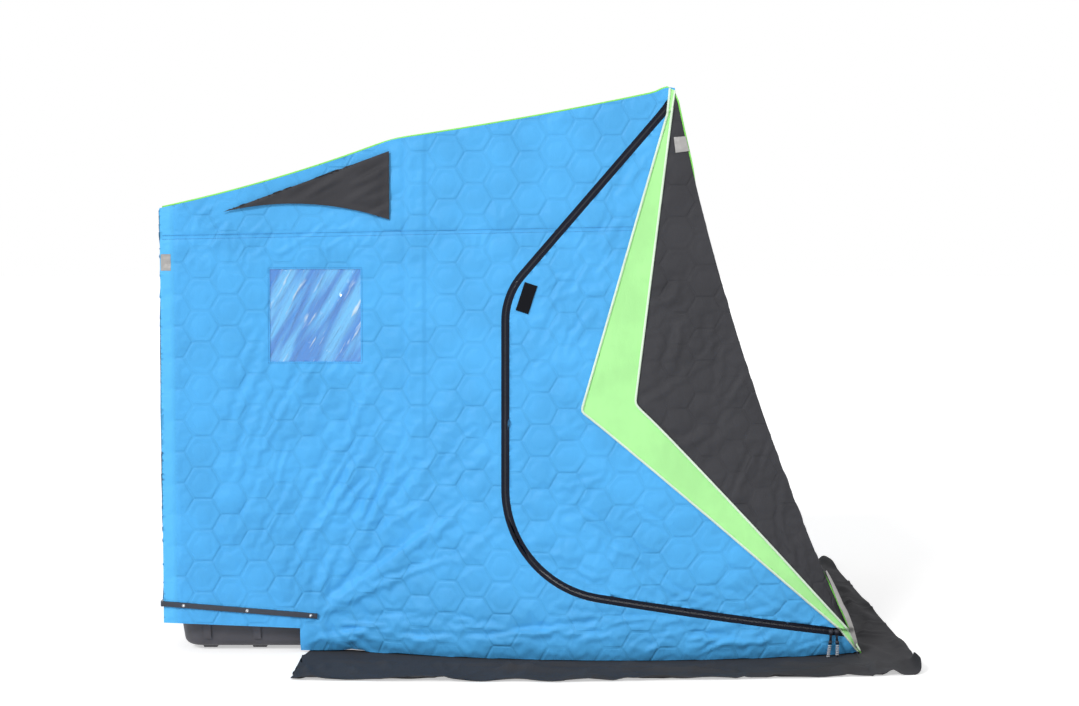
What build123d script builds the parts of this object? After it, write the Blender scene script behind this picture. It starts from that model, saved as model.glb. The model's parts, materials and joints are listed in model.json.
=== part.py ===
"""Two-person flip-over ice fishing hut, set up on the ice.

A quilted cloth body hangs on four U-shaped bows that fan out from one bracket on each
side of a moulded sled. Each side wall has a large door flap, zipped along a curve and
sewn to the front edge. Millimetres; +X is the front, +Z is up, the ice is at Z = 0.
"""
import os
from math import atan2, degrees, hypot

from build123d import *

# ---- Driving dimensions ------------------------------------------------------------

# Cloth body, seen from the side
CABIN_LENGTH = 2400.0          # back wall to the foot of the front wall
BACK_HEIGHT = 1535.0           # top of the back wall
KINK_FROM_BACK = 795.0         # roof kink over the middle bow
KINK_RISE = 233.0              # roof kink above the top of the back wall
PEAK_FROM_BACK = 1755.0        # highest corner, over the peak bow
PEAK_RISE = 172.0              # peak above the roof kink
REAR_ROOF_SAG = 16.0           # sag of the roof cloth between the bows
FRONT_ROOF_SAG = 9.0
FRONT_SAG = 64.0               # how far the front wall hangs in behind its chord
CLOTH = 8.0                    # thickness of the quilted cloth
SEAM_CLEARANCE = 0.3           # between the side walls and what is sewn inside them

# Cloth body, seen from above (half widths)
SIDE_HALF = 822.0              # rear walls and the roof's edges
MIDDLE_HALF = 980.0            # widest point of the wall's hem
FOOT_HALF = 840.0              # hem at the front foot
MIDDLE_FROM_BACK = 1420.0      # where the hem is widest
STEP_FROM_BACK = 470.0         # where the cloth steps down from the sled to the ice
CREASE_FROM_BACK = 645.0       # foot of the crease, where the wall starts to flare out

# Skirts on the ice
SKIRT = 8.0                    # thickness of the folded skirt cloth
SIDE_SKIRT_WIDTH = 295.0       # beyond the widest point of the hem
SKIRT_REAR_TAPER = 30.0        # its outer edge draws in by this at the rear end
SKIRT_FRONT_TAPER = 120.0      # and by this at the front corners
FRONT_SKIRT_WIDTH = 180.0
SKIRT_CORNER_RADIUS = 60.0

# Door flap
ZIP_BELOW_PEAK = 35.0          # zip line below the peak, at the front edge
ZIP_FROM_BACK = 1180.0         # upright run of the zip
ZIP_SHOULDER_HEIGHT = 1241.0   # corner between the sloping and the upright run
ZIP_LOWER_HEIGHT = 268.0       # corner between the upright and the lower run
ZIP_FOOT_HEIGHT = 75.0         # lower run where it meets the foot
ZIP_SHOULDER_RADIUS = 240.0
ZIP_LOWER_RADIUS = 370.0
ZIP_GAP = 28.0                 # between the cloth edges, filled by the two tapes
ZIP_TEETH_GAP = 6.0            # left between the two tapes
ZIP_TAPE = 3.0                 # thickness of a tape
STRIPE_FROM_BACK = 1437.0      # rear corner of the green stripe
STRIPE_HEIGHT = 847.0
STRIPE_WIDTH = 182.0           # at the corner, along the hut
STRIPE_RISE = 27.0             # front corner of the stripe above the rear one

# Upper seam, window and vent hood
SEAM_BELOW_BACK = 100.0        # seam below the top of the back wall
SEAM_RISE = 45.0               # how far it climbs from the back to the foot
WINDOW_FROM_BACK = 374.0
WINDOW_HEIGHT = 1011.0
WINDOW_LENGTH = 311.0
WINDOW_TALL = 316.0
WINDOW_FILM = 2.0
HOOD_BEHIND_KINK = 10.0        # upright front edge of the hood, behind the roof kink
HOOD_BELOW_KINK = 40.0         # its top corner, below the kink
HOOD_FRONT_DROP = 232.0        # length of that upright edge
HOOD_LENGTH = 567.0            # upright edge to the tip
HOOD_TIP_DROP = 206.0          # tip below the top corner
HOOD_ARCH_LENGTH = 185.0       # upright edge to the top of the arched lower edge
HOOD_ARCH_DROP = 188.0         # top of the arch below the top corner
HOOD_THICKNESS = 8.0

# Hook-and-loop patch beside the zip
PATCH_FROM_ZIP = 72.0
PATCH_HEIGHT = 1230.0
PATCH_LENGTH = 45.0
PATCH_TALL = 100.0
PATCH_TILT = -18.0
PATCH_THICKNESS = 3.0

# Piping sewn along the roof and front edges
PIPING = 10.0

# Sled
SLED_LENGTH = 960.0
SLED_HEIGHT = 186.0            # top of the rim
SLED_WALL = 6.0
SLED_DRAFT = 25.0              # how much smaller the floor is, each side
SLED_CORNER_RADIUS = 70.0      # at the floor; the draft adds to it higher up
SLED_BOTTOM_RADIUS = 30.0
SLED_INNER_CHAMFER = 13.0      # inside, behind the rounded bottom edge
RIM_THICKNESS = 10.0
RIM_WIDTH = 46.0
RUNNER_HEIGHT = 14.0
RUNNER_WIDTH = 46.0
RUNNER_COUNT = 5
RUNNER_RAMP = 28.0             # raised end of each runner
RIB_COUNT = 5
RIB_WIDTH = 26.0
RIB_DEPTH = 8.0

# Clamp rail that holds the cloth to the sled
RAIL_THICKNESS = 10.0
RAIL_TALL = 18.0
RAIL_BELOW_RIM = 2.0
RAIL_DROP = 43.0               # the side rails slope down by this to their front ends
RAIL_EDGE_RADIUS = 3.0
RAIL_CORNER_RADIUS = 8.0
RAIL_PAST_STEP = 60.0          # the rail runs on past the step in the cloth
CLOTH_BELOW_RAIL = 58.0        # the cloth hangs on below the rail as a flap
FLAP_DROP = 19.0               # the flap's hem slopes down by this to the step

# Bows and the bracket that carries them
BOW_SIZE = 25.0                # square tube
BOW_CLEARANCE = 5.5            # between the bows and the cloth
BOW_BEND_RADIUS = 75.0
FRONT_BOW_FROM_FOOT = 62.0     # top bar of the front bow, behind the foot of the wall
BRACKET_THICKNESS = 6.0
BRACKET_MARGIN = 12.0          # plate round each bow's end
BRACKET_FROM_BACK = 550.0      # middle of the bracket
BRACKET_FOOT_LENGTH = 150.0
BRACKET_FOOT_WIDTH = 30.0      # flange that lies on the rim, under the bow ends
REAR_END = (-58.0, 78.0)       # bow ends, from the bracket's middle and the rim
MIDDLE_END = (-12.0, 122.0)
PEAK_END = (36.0, 92.0)
FRONT_END = (60.0, 56.0)

# Zip pulls
PULL_FROM_FOOT = 120.0
PULL_SPACING = 20.0
PULL_LENGTH = 72.0
PULL_WIDTH = 11.0
PULL_THICKNESS = 4.0

# ---- Places that follow from the driving dimensions ---------------------------------

TOTAL_LENGTH = RAIL_THICKNESS + CABIN_LENGTH + FRONT_SKIRT_WIDTH
BACK_X = RAIL_THICKNESS - TOTAL_LENGTH / 2
FOOT_X = BACK_X + CABIN_LENGTH
KINK_X = BACK_X + KINK_FROM_BACK
KINK_HEIGHT = BACK_HEIGHT + KINK_RISE
PEAK_HEIGHT = KINK_HEIGHT + PEAK_RISE
SEAM_HEIGHT = BACK_HEIGHT - SEAM_BELOW_BACK
PEAK_X = BACK_X + PEAK_FROM_BACK
STEP_X = BACK_X + STEP_FROM_BACK
CREASE_X = BACK_X + CREASE_FROM_BACK
MIDDLE_X = BACK_X + MIDDLE_FROM_BACK
ZIP_X = BACK_X + ZIP_FROM_BACK

HEM_Z = SKIRT
RAIL_TOP = SLED_HEIGHT - RAIL_BELOW_RIM
RAIL_BOTTOM = RAIL_TOP - RAIL_TALL
FLAP_Z = RAIL_BOTTOM - CLOTH_BELOW_RAIL

MARGIN = 60.0                  # how far cutting shapes run past the cloth
BLOCK_TOP = PEAK_HEIGHT + MARGIN
REACH = MIDDLE_HALF + SIDE_SKIRT_WIDTH + MARGIN

# The crease over the middle bow runs from its foot on the ice through the roof kink
CREASE_TOP_X = CREASE_X + (KINK_X - CREASE_X) * BLOCK_TOP / KINK_HEIGHT
BOW_HALF = SIDE_HALF - CLOTH - BOW_CLEARANCE - BOW_SIZE / 2
INNER_SIDE = CLOTH + SEAM_CLEARANCE


# ---- Shared shapes -------------------------------------------------------------------

def sagging(start, end, sag):
    """Arc from start to end whose middle lies sag below or behind the chord."""
    run_x = end[0] - start[0]
    run_z = end[1] - start[1]
    chord = hypot(run_x, run_z)
    middle = (
        (start[0] + end[0]) / 2 + run_z / chord * sag,
        (start[1] + end[1]) / 2 - run_x / chord * sag,
    )
    return ThreePointArc(start, middle, end)


def profile(grow):
    """Side view of the cloth body, moved outwards by grow (inwards where negative)."""
    back_foot = (BACK_X, -MARGIN)
    back_top = (BACK_X, BACK_HEIGHT)
    kink = (KINK_X, KINK_HEIGHT)
    peak = (PEAK_X, PEAK_HEIGHT)
    foot = (FOOT_X, 0)
    foot_below = (FOOT_X, -MARGIN)
    with BuildSketch(Plane.XZ.offset(-REACH)) as outline:
        with BuildLine():
            Line(back_foot, back_top)
            sagging(back_top, kink, REAR_ROOF_SAG)
            sagging(kink, peak, FRONT_ROOF_SAG)
            sagging(peak, foot, FRONT_SAG)
            Polyline(foot, foot_below, back_foot)
        make_face()
        if grow:
            offset(amount=grow, kind=Kind.INTERSECTION)
    return outline.sketch


def profile_prism(grow):
    """The side view carried across the full width, above the hem."""
    with BuildPart() as prism:
        extrude(profile(grow), amount=2 * REACH)
        split(bisect_by=Plane.XY.offset(HEM_Z), keep=Keep.TOP)
    return prism.part


def block(inset):
    """Everything between the two side walls, each moved inwards by inset."""
    rear = BACK_X - MARGIN
    front = FOOT_X + MARGIN
    side = SIDE_HALF - inset
    middle = MIDDLE_HALF - inset
    foot = FOOT_HALF - inset
    with BuildPart() as solid:
        with BuildSketch(Plane.XY):
            with BuildLine():
                Line((rear, -side), (CREASE_X, -side))
                ThreePointArc((CREASE_X, -side), (MIDDLE_X, -middle), (front, -foot))
                Line((front, -foot), (front, foot))
                ThreePointArc((front, foot), (MIDDLE_X, middle), (CREASE_X, side))
                Polyline((CREASE_X, side), (rear, side), (rear, -side))
            make_face()
        with BuildSketch(Plane.XY.offset(BLOCK_TOP)):
            with BuildLine():
                Polyline((rear, -side), (CREASE_TOP_X, -side), (front, -side))
                Polyline((front, -side), (front, side))
                Polyline((front, side), (CREASE_TOP_X, side), (rear, side))
                Line((rear, side), (rear, -side))
            make_face()
        loft(ruled=True)
    return solid.part


def near_layer(outer, inner):
    """The near side wall between two depths below the cloth's outside face."""
    with BuildPart() as layer:
        add(block(outer))
        add(block(inner), mode=Mode.SUBTRACT)
        add(profile_prism(0), mode=Mode.INTERSECT)
        split(bisect_by=Plane.XZ, keep=Keep.TOP)
    return layer.part


def door_outline(shift):
    """The doorway in the side view, its zip edge moved outwards by shift."""
    slope = (PEAK_HEIGHT - ZIP_BELOW_PEAK - ZIP_SHOULDER_HEIGHT) / (PEAK_X - ZIP_X)
    lower_slope = (ZIP_FOOT_HEIGHT - ZIP_LOWER_HEIGHT) / (FOOT_X - ZIP_X)
    far_x = FOOT_X + CABIN_LENGTH
    top = (far_x, ZIP_SHOULDER_HEIGHT + slope * (far_x - ZIP_X))
    shoulder = (ZIP_X, ZIP_SHOULDER_HEIGHT)
    lower = (ZIP_X, ZIP_LOWER_HEIGHT)
    foot = (far_x, ZIP_LOWER_HEIGHT + lower_slope * (far_x - ZIP_X))
    with BuildSketch(Plane.XZ) as outline:
        with BuildLine():
            FilletPolyline(
                top, shoulder, lower, foot, radius=[ZIP_SHOULDER_RADIUS, ZIP_LOWER_RADIUS],
            )
            Line(foot, top)
        make_face()
        offset(amount=shift, kind=Kind.INTERSECTION)
    return outline.sketch


def front_of_stripe(rear_corner):
    """Everything in front of a line from the peak to a corner and on to the foot."""
    with BuildSketch(Plane.XZ) as outline:
        with BuildLine():
            Polyline(
                (PEAK_X, BLOCK_TOP), (PEAK_X, PEAK_HEIGHT), rear_corner, (FOOT_X, 0),
                (FOOT_X + MARGIN, 0), (FOOT_X + MARGIN, BLOCK_TOP), close=True,
            )
        make_face()
    return outline.sketch


def behind_crease():
    """Everything behind the crease, cut back to the flap where the sled shows below."""
    with BuildSketch(Plane.XZ) as outline:
        with BuildLine():
            Polyline(
                (BACK_X, FLAP_Z), (STEP_X, FLAP_Z - FLAP_DROP), (STEP_X, 0), (CREASE_X, 0),
                (CREASE_TOP_X, BLOCK_TOP), (BACK_X, BLOCK_TOP), close=True,
            )
        make_face()
    return outline.sketch


def ahead_of_crease():
    """Everything in front of the crease."""
    with BuildSketch(Plane.XZ) as outline:
        with BuildLine():
            Polyline(
                (CREASE_X, 0), (FOOT_X + MARGIN, 0), (FOOT_X + MARGIN, BLOCK_TOP),
                (CREASE_TOP_X, BLOCK_TOP), close=True,
            )
        make_face()
    return outline.sketch


def above_seam():
    """Everything above the long seam under the roof."""
    with BuildSketch(Plane.XZ) as outline:
        with BuildLine():
            Polyline(
                (BACK_X, SEAM_HEIGHT), (FOOT_X, SEAM_HEIGHT + SEAM_RISE), (FOOT_X, BLOCK_TOP),
                (BACK_X, BLOCK_TOP), close=True,
            )
        make_face()
    return outline.sketch


def window_outline():
    """The window, square to the upper seam."""
    with BuildSketch(Plane.XZ) as outline:
        middle_x = BACK_X + WINDOW_FROM_BACK + WINDOW_LENGTH / 2
        middle_z = WINDOW_HEIGHT + WINDOW_TALL / 2
        with Locations((middle_x, middle_z)):
            Rectangle(WINDOW_LENGTH, WINDOW_TALL)
    return outline.sketch


def keep_inside(body, sketch):
    """The part of a near wall that lies inside a side-view outline."""
    with BuildPart() as kept:
        add(body)
        extrude(sketch, amount=REACH, mode=Mode.INTERSECT)
    return kept.part


def cut_away(body, sketch):
    """The part of a near wall that lies outside a side-view outline."""
    with BuildPart() as kept:
        add(body)
        extrude(sketch, amount=REACH, mode=Mode.SUBTRACT)
    return kept.part


def write(piece, node):
    """Label a piece and write it as its own node."""
    piece.label = node
    export_step(piece, f"parts/{node}.step")


def write_both_sides(piece, node):
    """Write a near-side piece and its mirror image on the far side."""
    write(piece, f"near_{node}")
    write(mirror(piece, about=Plane.XZ), f"far_{node}")


os.makedirs("parts", exist_ok=True)

# ---- Side walls and door flap --------------------------------------------------------

wall = near_layer(0, CLOTH)
opening = door_outline(ZIP_GAP / 2)
flap = keep_inside(wall, door_outline(-ZIP_GAP / 2))
fixed_front = cut_away(keep_inside(wall, ahead_of_crease()), opening)

rear_panel = cut_away(keep_inside(wall, behind_crease()), window_outline())
write_both_sides(rear_panel, "side_rear_panel")
film = near_layer(CLOTH / 2 - WINDOW_FILM / 2, CLOTH / 2 + WINDOW_FILM / 2)
write_both_sides(keep_inside(film, window_outline()), "window")

# The fixed cloth round the doorway: over it, beside it and a sill under it
with BuildSketch(Plane.XZ) as sill_side:
    with Locations((ZIP_X + ZIP_LOWER_RADIUS, 0)):
        Rectangle(CABIN_LENGTH, 2 * ZIP_LOWER_HEIGHT, align=(Align.MIN, Align.CENTER))
below_seam = cut_away(fixed_front, above_seam())
write_both_sides(keep_inside(fixed_front, above_seam()), "side_upper_panel")
write_both_sides(cut_away(below_seam, sill_side.sketch), "side_middle_panel")
write_both_sides(keep_inside(below_seam, sill_side.sketch), "side_sill_panel")

# The door flap: blue panel, green stripe, black front panel
stripe_rear = (BACK_X + STRIPE_FROM_BACK, STRIPE_HEIGHT)
stripe_front = (stripe_rear[0] + STRIPE_WIDTH, STRIPE_HEIGHT + STRIPE_RISE)
striped = keep_inside(flap, front_of_stripe(stripe_rear))
write_both_sides(cut_away(flap, front_of_stripe(stripe_rear)), "door_panel")
write_both_sides(cut_away(striped, front_of_stripe(stripe_front)), "door_stripe")
write_both_sides(keep_inside(striped, front_of_stripe(stripe_front)), "door_front_panel")

# Zip tapes, one sewn to the wall and one to the flap
tape = near_layer(CLOTH / 2 - ZIP_TAPE / 2, CLOTH / 2 + ZIP_TAPE / 2)
wall_tape = cut_away(keep_inside(tape, opening), door_outline(ZIP_TEETH_GAP / 2))
door_tape = cut_away(keep_inside(tape, door_outline(-ZIP_TEETH_GAP / 2)), door_outline(-ZIP_GAP / 2))
write_both_sides(wall_tape, "zip_tape_wall")
write_both_sides(door_tape, "zip_tape_door")

# Vent hood over the rear panel, and the hook patch by the zip
with BuildSketch(Plane.XZ) as hood:
    front_top = (KINK_X - HOOD_BEHIND_KINK, KINK_HEIGHT - HOOD_BELOW_KINK)
    front_bottom = (front_top[0], front_top[1] - HOOD_FRONT_DROP)
    arch_top = (front_top[0] - HOOD_ARCH_LENGTH, front_top[1] - HOOD_ARCH_DROP)
    tip = (front_top[0] - HOOD_LENGTH, front_top[1] - HOOD_TIP_DROP)
    with BuildLine():
        Polyline(tip, front_top, front_bottom)
        ThreePointArc(front_bottom, arch_top, tip)
    make_face()
write_both_sides(keep_inside(near_layer(-HOOD_THICKNESS, 0), hood.sketch), "vent_hood")

with BuildSketch(Plane.XZ) as patch:
    with Locations(Location((ZIP_X + PATCH_FROM_ZIP, PATCH_HEIGHT), PATCH_TILT)):
        Rectangle(PATCH_LENGTH, PATCH_TALL)
write_both_sides(keep_inside(near_layer(-PATCH_THICKNESS, 0), patch.sketch), "hook_patch")

# ---- Back, roof and front walls, sewn in between the side walls -----------------------

with BuildPart() as across:
    add(profile_prism(0))
    add(profile_prism(-CLOTH), mode=Mode.SUBTRACT)
    add(block(INNER_SIDE), mode=Mode.INTERSECT)


def ahead_of_peak():
    """Everything in front of the mitre at the peak, which halves the corner there."""
    roof_run = hypot(PEAK_X - KINK_X, PEAK_HEIGHT - KINK_HEIGHT)
    front_run = hypot(FOOT_X - PEAK_X, PEAK_HEIGHT)
    mitre_x = (KINK_X - PEAK_X) / roof_run + (FOOT_X - PEAK_X) / front_run
    mitre_z = (KINK_HEIGHT - PEAK_HEIGHT) / roof_run - PEAK_HEIGHT / front_run
    inner = (PEAK_X + mitre_x * MARGIN, PEAK_HEIGHT + mitre_z * MARGIN)
    outer = (PEAK_X - mitre_x * MARGIN, PEAK_HEIGHT - mitre_z * MARGIN)
    with BuildSketch(Plane.XZ.offset(-REACH)) as outline:
        with BuildLine():
            Polyline(
                outer, inner, (inner[0], 0), (FOOT_X + MARGIN, 0), (FOOT_X + MARGIN, outer[1]),
                close=True,
            )
        make_face()
    return outline.sketch


def above_back_wall():
    """Everything from the back wall's top upwards and from its face forwards."""
    with BuildSketch(Plane.XZ.offset(-REACH)) as outline:
        with Locations((BACK_X, BACK_HEIGHT - CLOTH)):
            Rectangle(CABIN_LENGTH, BLOCK_TOP, align=(Align.MIN, Align.MIN))
    return outline.sketch


def back_wall_outline():
    """The back wall in the side view, from the flap under the rail to the roof."""
    with BuildSketch(Plane.XZ.offset(-REACH)) as outline:
        with Locations((BACK_X, FLAP_Z)):
            Rectangle(CLOTH, BACK_HEIGHT - CLOTH - FLAP_Z, align=(Align.MIN, Align.MIN))
    return outline.sketch


def behind_kink():
    """Everything behind the roof kink."""
    with BuildSketch(Plane.XZ.offset(-REACH)) as outline:
        with Locations((KINK_X, 0)):
            Rectangle(CABIN_LENGTH, BLOCK_TOP, align=(Align.MAX, Align.MIN))
    return outline.sketch


with BuildPart() as back_wall:
    add(across.part)
    extrude(back_wall_outline(), amount=2 * REACH, mode=Mode.INTERSECT)
write(back_wall.part, "back_wall")

with BuildPart() as roof_rear:
    add(across.part)
    extrude(above_back_wall(), amount=2 * REACH, mode=Mode.INTERSECT)
    extrude(behind_kink(), amount=2 * REACH, mode=Mode.INTERSECT)
write(roof_rear.part, "roof_rear")

with BuildPart() as roof_front:
    add(across.part)
    extrude(above_back_wall(), amount=2 * REACH, mode=Mode.INTERSECT)
    extrude(behind_kink(), amount=2 * REACH, mode=Mode.SUBTRACT)
    extrude(ahead_of_peak(), amount=2 * REACH, mode=Mode.SUBTRACT)
write(roof_front.part, "roof_front")

with BuildPart() as front_wall:
    add(across.part)
    extrude(ahead_of_peak(), amount=2 * REACH, mode=Mode.INTERSECT)
write(front_wall.part, "front_wall")

# ---- Piping on the roof's and the front wall's edges, just inside the side walls -------

with BuildPart() as edging:
    add(profile_prism(PIPING))
    add(profile_prism(0), mode=Mode.SUBTRACT)
    add(block(INNER_SIDE), mode=Mode.INTERSECT)
    add(block(INNER_SIDE + PIPING), mode=Mode.SUBTRACT)
    split(bisect_by=Plane.XZ, keep=Keep.TOP)

with BuildPart() as roof_piping:
    add(edging.part)
    extrude(above_back_wall(), amount=2 * REACH, mode=Mode.INTERSECT)
    extrude(ahead_of_peak(), amount=2 * REACH, mode=Mode.SUBTRACT)
write_both_sides(roof_piping.part, "roof_piping")

with BuildPart() as front_piping:
    add(edging.part)
    extrude(ahead_of_peak(), amount=2 * REACH, mode=Mode.INTERSECT)
write_both_sides(front_piping.part, "front_piping")

# ---- Zip pulls, hanging on the sill near the front foot --------------------------------

with BuildSketch(Plane.XZ) as pulls:
    lower_climb = (ZIP_LOWER_HEIGHT - ZIP_FOOT_HEIGHT) / (FOOT_X - ZIP_X)
    for number in range(2):
        pull_x = FOOT_X - PULL_FROM_FOOT + number * PULL_SPACING
        zip_z = ZIP_FOOT_HEIGHT + lower_climb * (FOOT_X - pull_x)
        with Locations((pull_x, zip_z - ZIP_TEETH_GAP)):
            Rectangle(PULL_WIDTH, PULL_LENGTH, align=(Align.CENTER, Align.MAX))
write_both_sides(keep_inside(near_layer(-PULL_THICKNESS, 0), pulls.sketch), "zip_pulls")

# ---- Sled ----------------------------------------------------------------------------

RIM_HALF = SIDE_HALF - CLOTH
SLED_X = BACK_X + CLOTH + SLED_LENGTH / 2
RIM_FLOOR = SLED_HEIGHT - RIM_THICKNESS
FLOOR_LENGTH = SLED_LENGTH - RIM_WIDTH - 2 * SLED_DRAFT
FLOOR_WIDTH = 2 * RIM_HALF - RIM_WIDTH - 2 * SLED_DRAFT
SLED_TAPER = degrees(atan2(SLED_DRAFT, RIM_FLOOR - RUNNER_HEIGHT))


def tub(grow, low, high):
    """Drafted tub between two heights, its walls moved outwards by grow."""
    with BuildPart() as body:
        with BuildSketch(Plane((SLED_X, 0, low))):
            RectangleRounded(
                FLOOR_LENGTH + 2 * grow, FLOOR_WIDTH + 2 * grow, SLED_CORNER_RADIUS + grow,
            )
        extrude(amount=high - low, taper=-SLED_TAPER)
    return body.part


def across_sled(x):
    """Upright plane across the sled, looking forwards."""
    return Plane((x, 0, 0), x_dir=(0, 1, 0), z_dir=(1, 0, 0))


with BuildPart() as sled_cavity:
    add(tub(-SLED_WALL, RUNNER_HEIGHT + SLED_WALL, SLED_HEIGHT + SLED_WALL))
    chamfer(sled_cavity.edges().group_by(Axis.Z)[0], length=SLED_INNER_CHAMFER)

with BuildPart() as sled_tub:
    add(tub(0, RUNNER_HEIGHT, RIM_FLOOR))
    fillet(sled_tub.edges().group_by(Axis.Z)[0], radius=SLED_BOTTOM_RADIUS)
    # Upright ribs down both short walls, leaning with the draft
    rib_foot = RUNNER_HEIGHT + SLED_BOTTOM_RADIUS
    rib_lean = SLED_DRAFT * SLED_BOTTOM_RADIUS / (RIM_FLOOR - RUNNER_HEIGHT)
    low_y = FLOOR_WIDTH / 2 + rib_lean
    high_y = FLOOR_WIDTH / 2 + SLED_DRAFT
    for step in range(RIB_COUNT):
        rib_x = SLED_X + (step - (RIB_COUNT - 1) / 2) * FLOOR_LENGTH / RIB_COUNT
        with BuildSketch(across_sled(rib_x - RIB_WIDTH / 2)) as rib:
            with BuildLine():
                Polyline(
                    (low_y - SLED_WALL, rib_foot), (low_y + RIB_DEPTH, rib_foot),
                    (high_y + RIB_DEPTH, RIM_FLOOR), (high_y - SLED_WALL, RIM_FLOOR), close=True,
                )
            make_face()
            mirror(about=Plane.YZ)
        extrude(amount=RIB_WIDTH)
    # Rolled rim
    with BuildSketch(Plane((SLED_X, 0, RIM_FLOOR))):
        RectangleRounded(
            SLED_LENGTH, 2 * RIM_HALF, SLED_CORNER_RADIUS + SLED_DRAFT + RIM_WIDTH / 2,
        )
    extrude(amount=RIM_THICKNESS)
    # Runners under the floor, across the hut, with raised ends
    runner_half = FLOOR_WIDTH / 2 - SLED_BOTTOM_RADIUS
    for step in range(RUNNER_COUNT):
        runner_x = SLED_X + (step - (RUNNER_COUNT - 1) / 2) * FLOOR_LENGTH / RUNNER_COUNT
        with BuildSketch(across_sled(runner_x - RUNNER_WIDTH / 2)):
            with BuildLine():
                Polyline(
                    (-runner_half, RUNNER_HEIGHT + SLED_WALL / 2), (RUNNER_RAMP - runner_half, 0),
                    (runner_half - RUNNER_RAMP, 0), (runner_half, RUNNER_HEIGHT + SLED_WALL / 2),
                    close=True,
                )
            make_face()
        extrude(amount=RUNNER_WIDTH)
    add(sled_cavity.part, mode=Mode.SUBTRACT)
write(sled_tub.part, "sled_tub")

# ---- Clamp rails ---------------------------------------------------------------------

RAIL_END_X = STEP_X + RAIL_PAST_STEP
with BuildPart() as clamp_rail:
    with BuildSketch(Plane.XZ.offset(SIDE_HALF)):
        with BuildLine():
            Polyline(
                (BACK_X, RAIL_BOTTOM), (RAIL_END_X, RAIL_BOTTOM - RAIL_DROP),
                (RAIL_END_X, RAIL_TOP - RAIL_DROP), (BACK_X, RAIL_TOP), close=True,
            )
        make_face()
    extrude(amount=RAIL_THICKNESS)
    outer_edges = clamp_rail.edges().group_by(Axis.Y)[0]
    fillet(outer_edges.sort_by(SortBy.LENGTH)[-2:], radius=RAIL_EDGE_RADIUS)
write_both_sides(clamp_rail.part, "clamp_rail")

with BuildPart() as back_clamp_rail:
    with BuildSketch(Plane.XY.offset(RAIL_BOTTOM)):
        with Locations((BACK_X, 0)):
            Rectangle(RAIL_THICKNESS, 2 * (SIDE_HALF + RAIL_THICKNESS), align=(Align.MAX, Align.CENTER))
    extrude(amount=RAIL_TALL)
    fillet(
        back_clamp_rail.edges().filter_by(Axis.Z).group_by(Axis.X)[0], radius=RAIL_CORNER_RADIUS,
    )
write(back_clamp_rail.part, "back_clamp_rail")

# ---- Bows and their brackets -----------------------------------------------------------

# Each top bar lies in a corner of the cloth body, clear of it by its half diagonal
BOW_OFFSET = CLOTH + BOW_CLEARANCE + hypot(BOW_SIZE, BOW_SIZE) / 2
BRACKET_X = BACK_X + BRACKET_FROM_BACK
inner_corners = profile(-BOW_OFFSET).vertices()


def corner_inside(x, z):
    """Corner of the inner outline nearest to a corner of the cloth body."""
    found = inner_corners.sort_by_distance((x, REACH, z))[0]
    return (found.X, found.Z)


bow_corners = {
    "rear_bow": (REAR_END, corner_inside(BACK_X, BACK_HEIGHT)),
    "middle_bow": (MIDDLE_END, corner_inside(KINK_X, KINK_HEIGHT)),
    "peak_bow": (PEAK_END, corner_inside(PEAK_X, PEAK_HEIGHT)),
    "front_bow": (FRONT_END, (FOOT_X - FRONT_BOW_FROM_FOOT, BOW_OFFSET)),
}
for node, (end, corner) in bow_corners.items():
    end_x = BRACKET_X + end[0]
    end_z = SLED_HEIGHT + end[1]
    run = hypot(corner[0] - end_x, corner[1] - end_z)
    lean = ((corner[0] - end_x) / run, (corner[1] - end_z) / run)
    hoop_plane = Plane((end_x, 0, end_z), x_dir=(0, 1, 0), z_dir=(lean[1], 0, -lean[0]))
    end_plane = Plane((end_x, -BOW_HALF, end_z), x_dir=(0, 1, 0), z_dir=(lean[0], 0, lean[1]))
    with BuildPart() as bow:
        with BuildLine(hoop_plane) as hoop:
            FilletPolyline(
                (-BOW_HALF, 0), (-BOW_HALF, run), (BOW_HALF, run), (BOW_HALF, 0),
                radius=BOW_BEND_RADIUS,
            )
        with BuildSketch(end_plane):
            Rectangle(BOW_SIZE, BOW_SIZE)
        sweep(path=hoop.wire())
    write(bow.part, node)

plate_y = BOW_HALF - BOW_SIZE / 2 - BRACKET_THICKNESS
with BuildPart() as bracket:
    with BuildSketch(Plane.XZ.offset(plate_y)):
        for end, corner in bow_corners.values():
            with Locations((BRACKET_X + end[0], SLED_HEIGHT + end[1])):
                Circle(BOW_SIZE / 2 + BRACKET_MARGIN)
        with Locations((BRACKET_X, SLED_HEIGHT)):
            Rectangle(
                BRACKET_FOOT_LENGTH, BRACKET_THICKNESS, align=(Align.CENTER, Align.MIN),
            )
        make_hull()
    extrude(amount=BRACKET_THICKNESS)
    with BuildSketch(Plane.XY.offset(SLED_HEIGHT)):
        with Locations((BRACKET_X, -plate_y)):
            Rectangle(
                BRACKET_FOOT_LENGTH, BRACKET_FOOT_WIDTH, align=(Align.CENTER, Align.MAX),
            )
    extrude(amount=BRACKET_THICKNESS)
write_both_sides(bracket.part, "pivot_bracket")

# ---- Skirts lying on the ice -------------------------------------------------------------

skirt_front_x = FOOT_X + FRONT_SKIRT_WIDTH
skirt_half = MIDDLE_HALF + SIDE_SKIRT_WIDTH
skirt_rear = skirt_half - SKIRT_REAR_TAPER
skirt_corner = skirt_half - SKIRT_FRONT_TAPER


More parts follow.
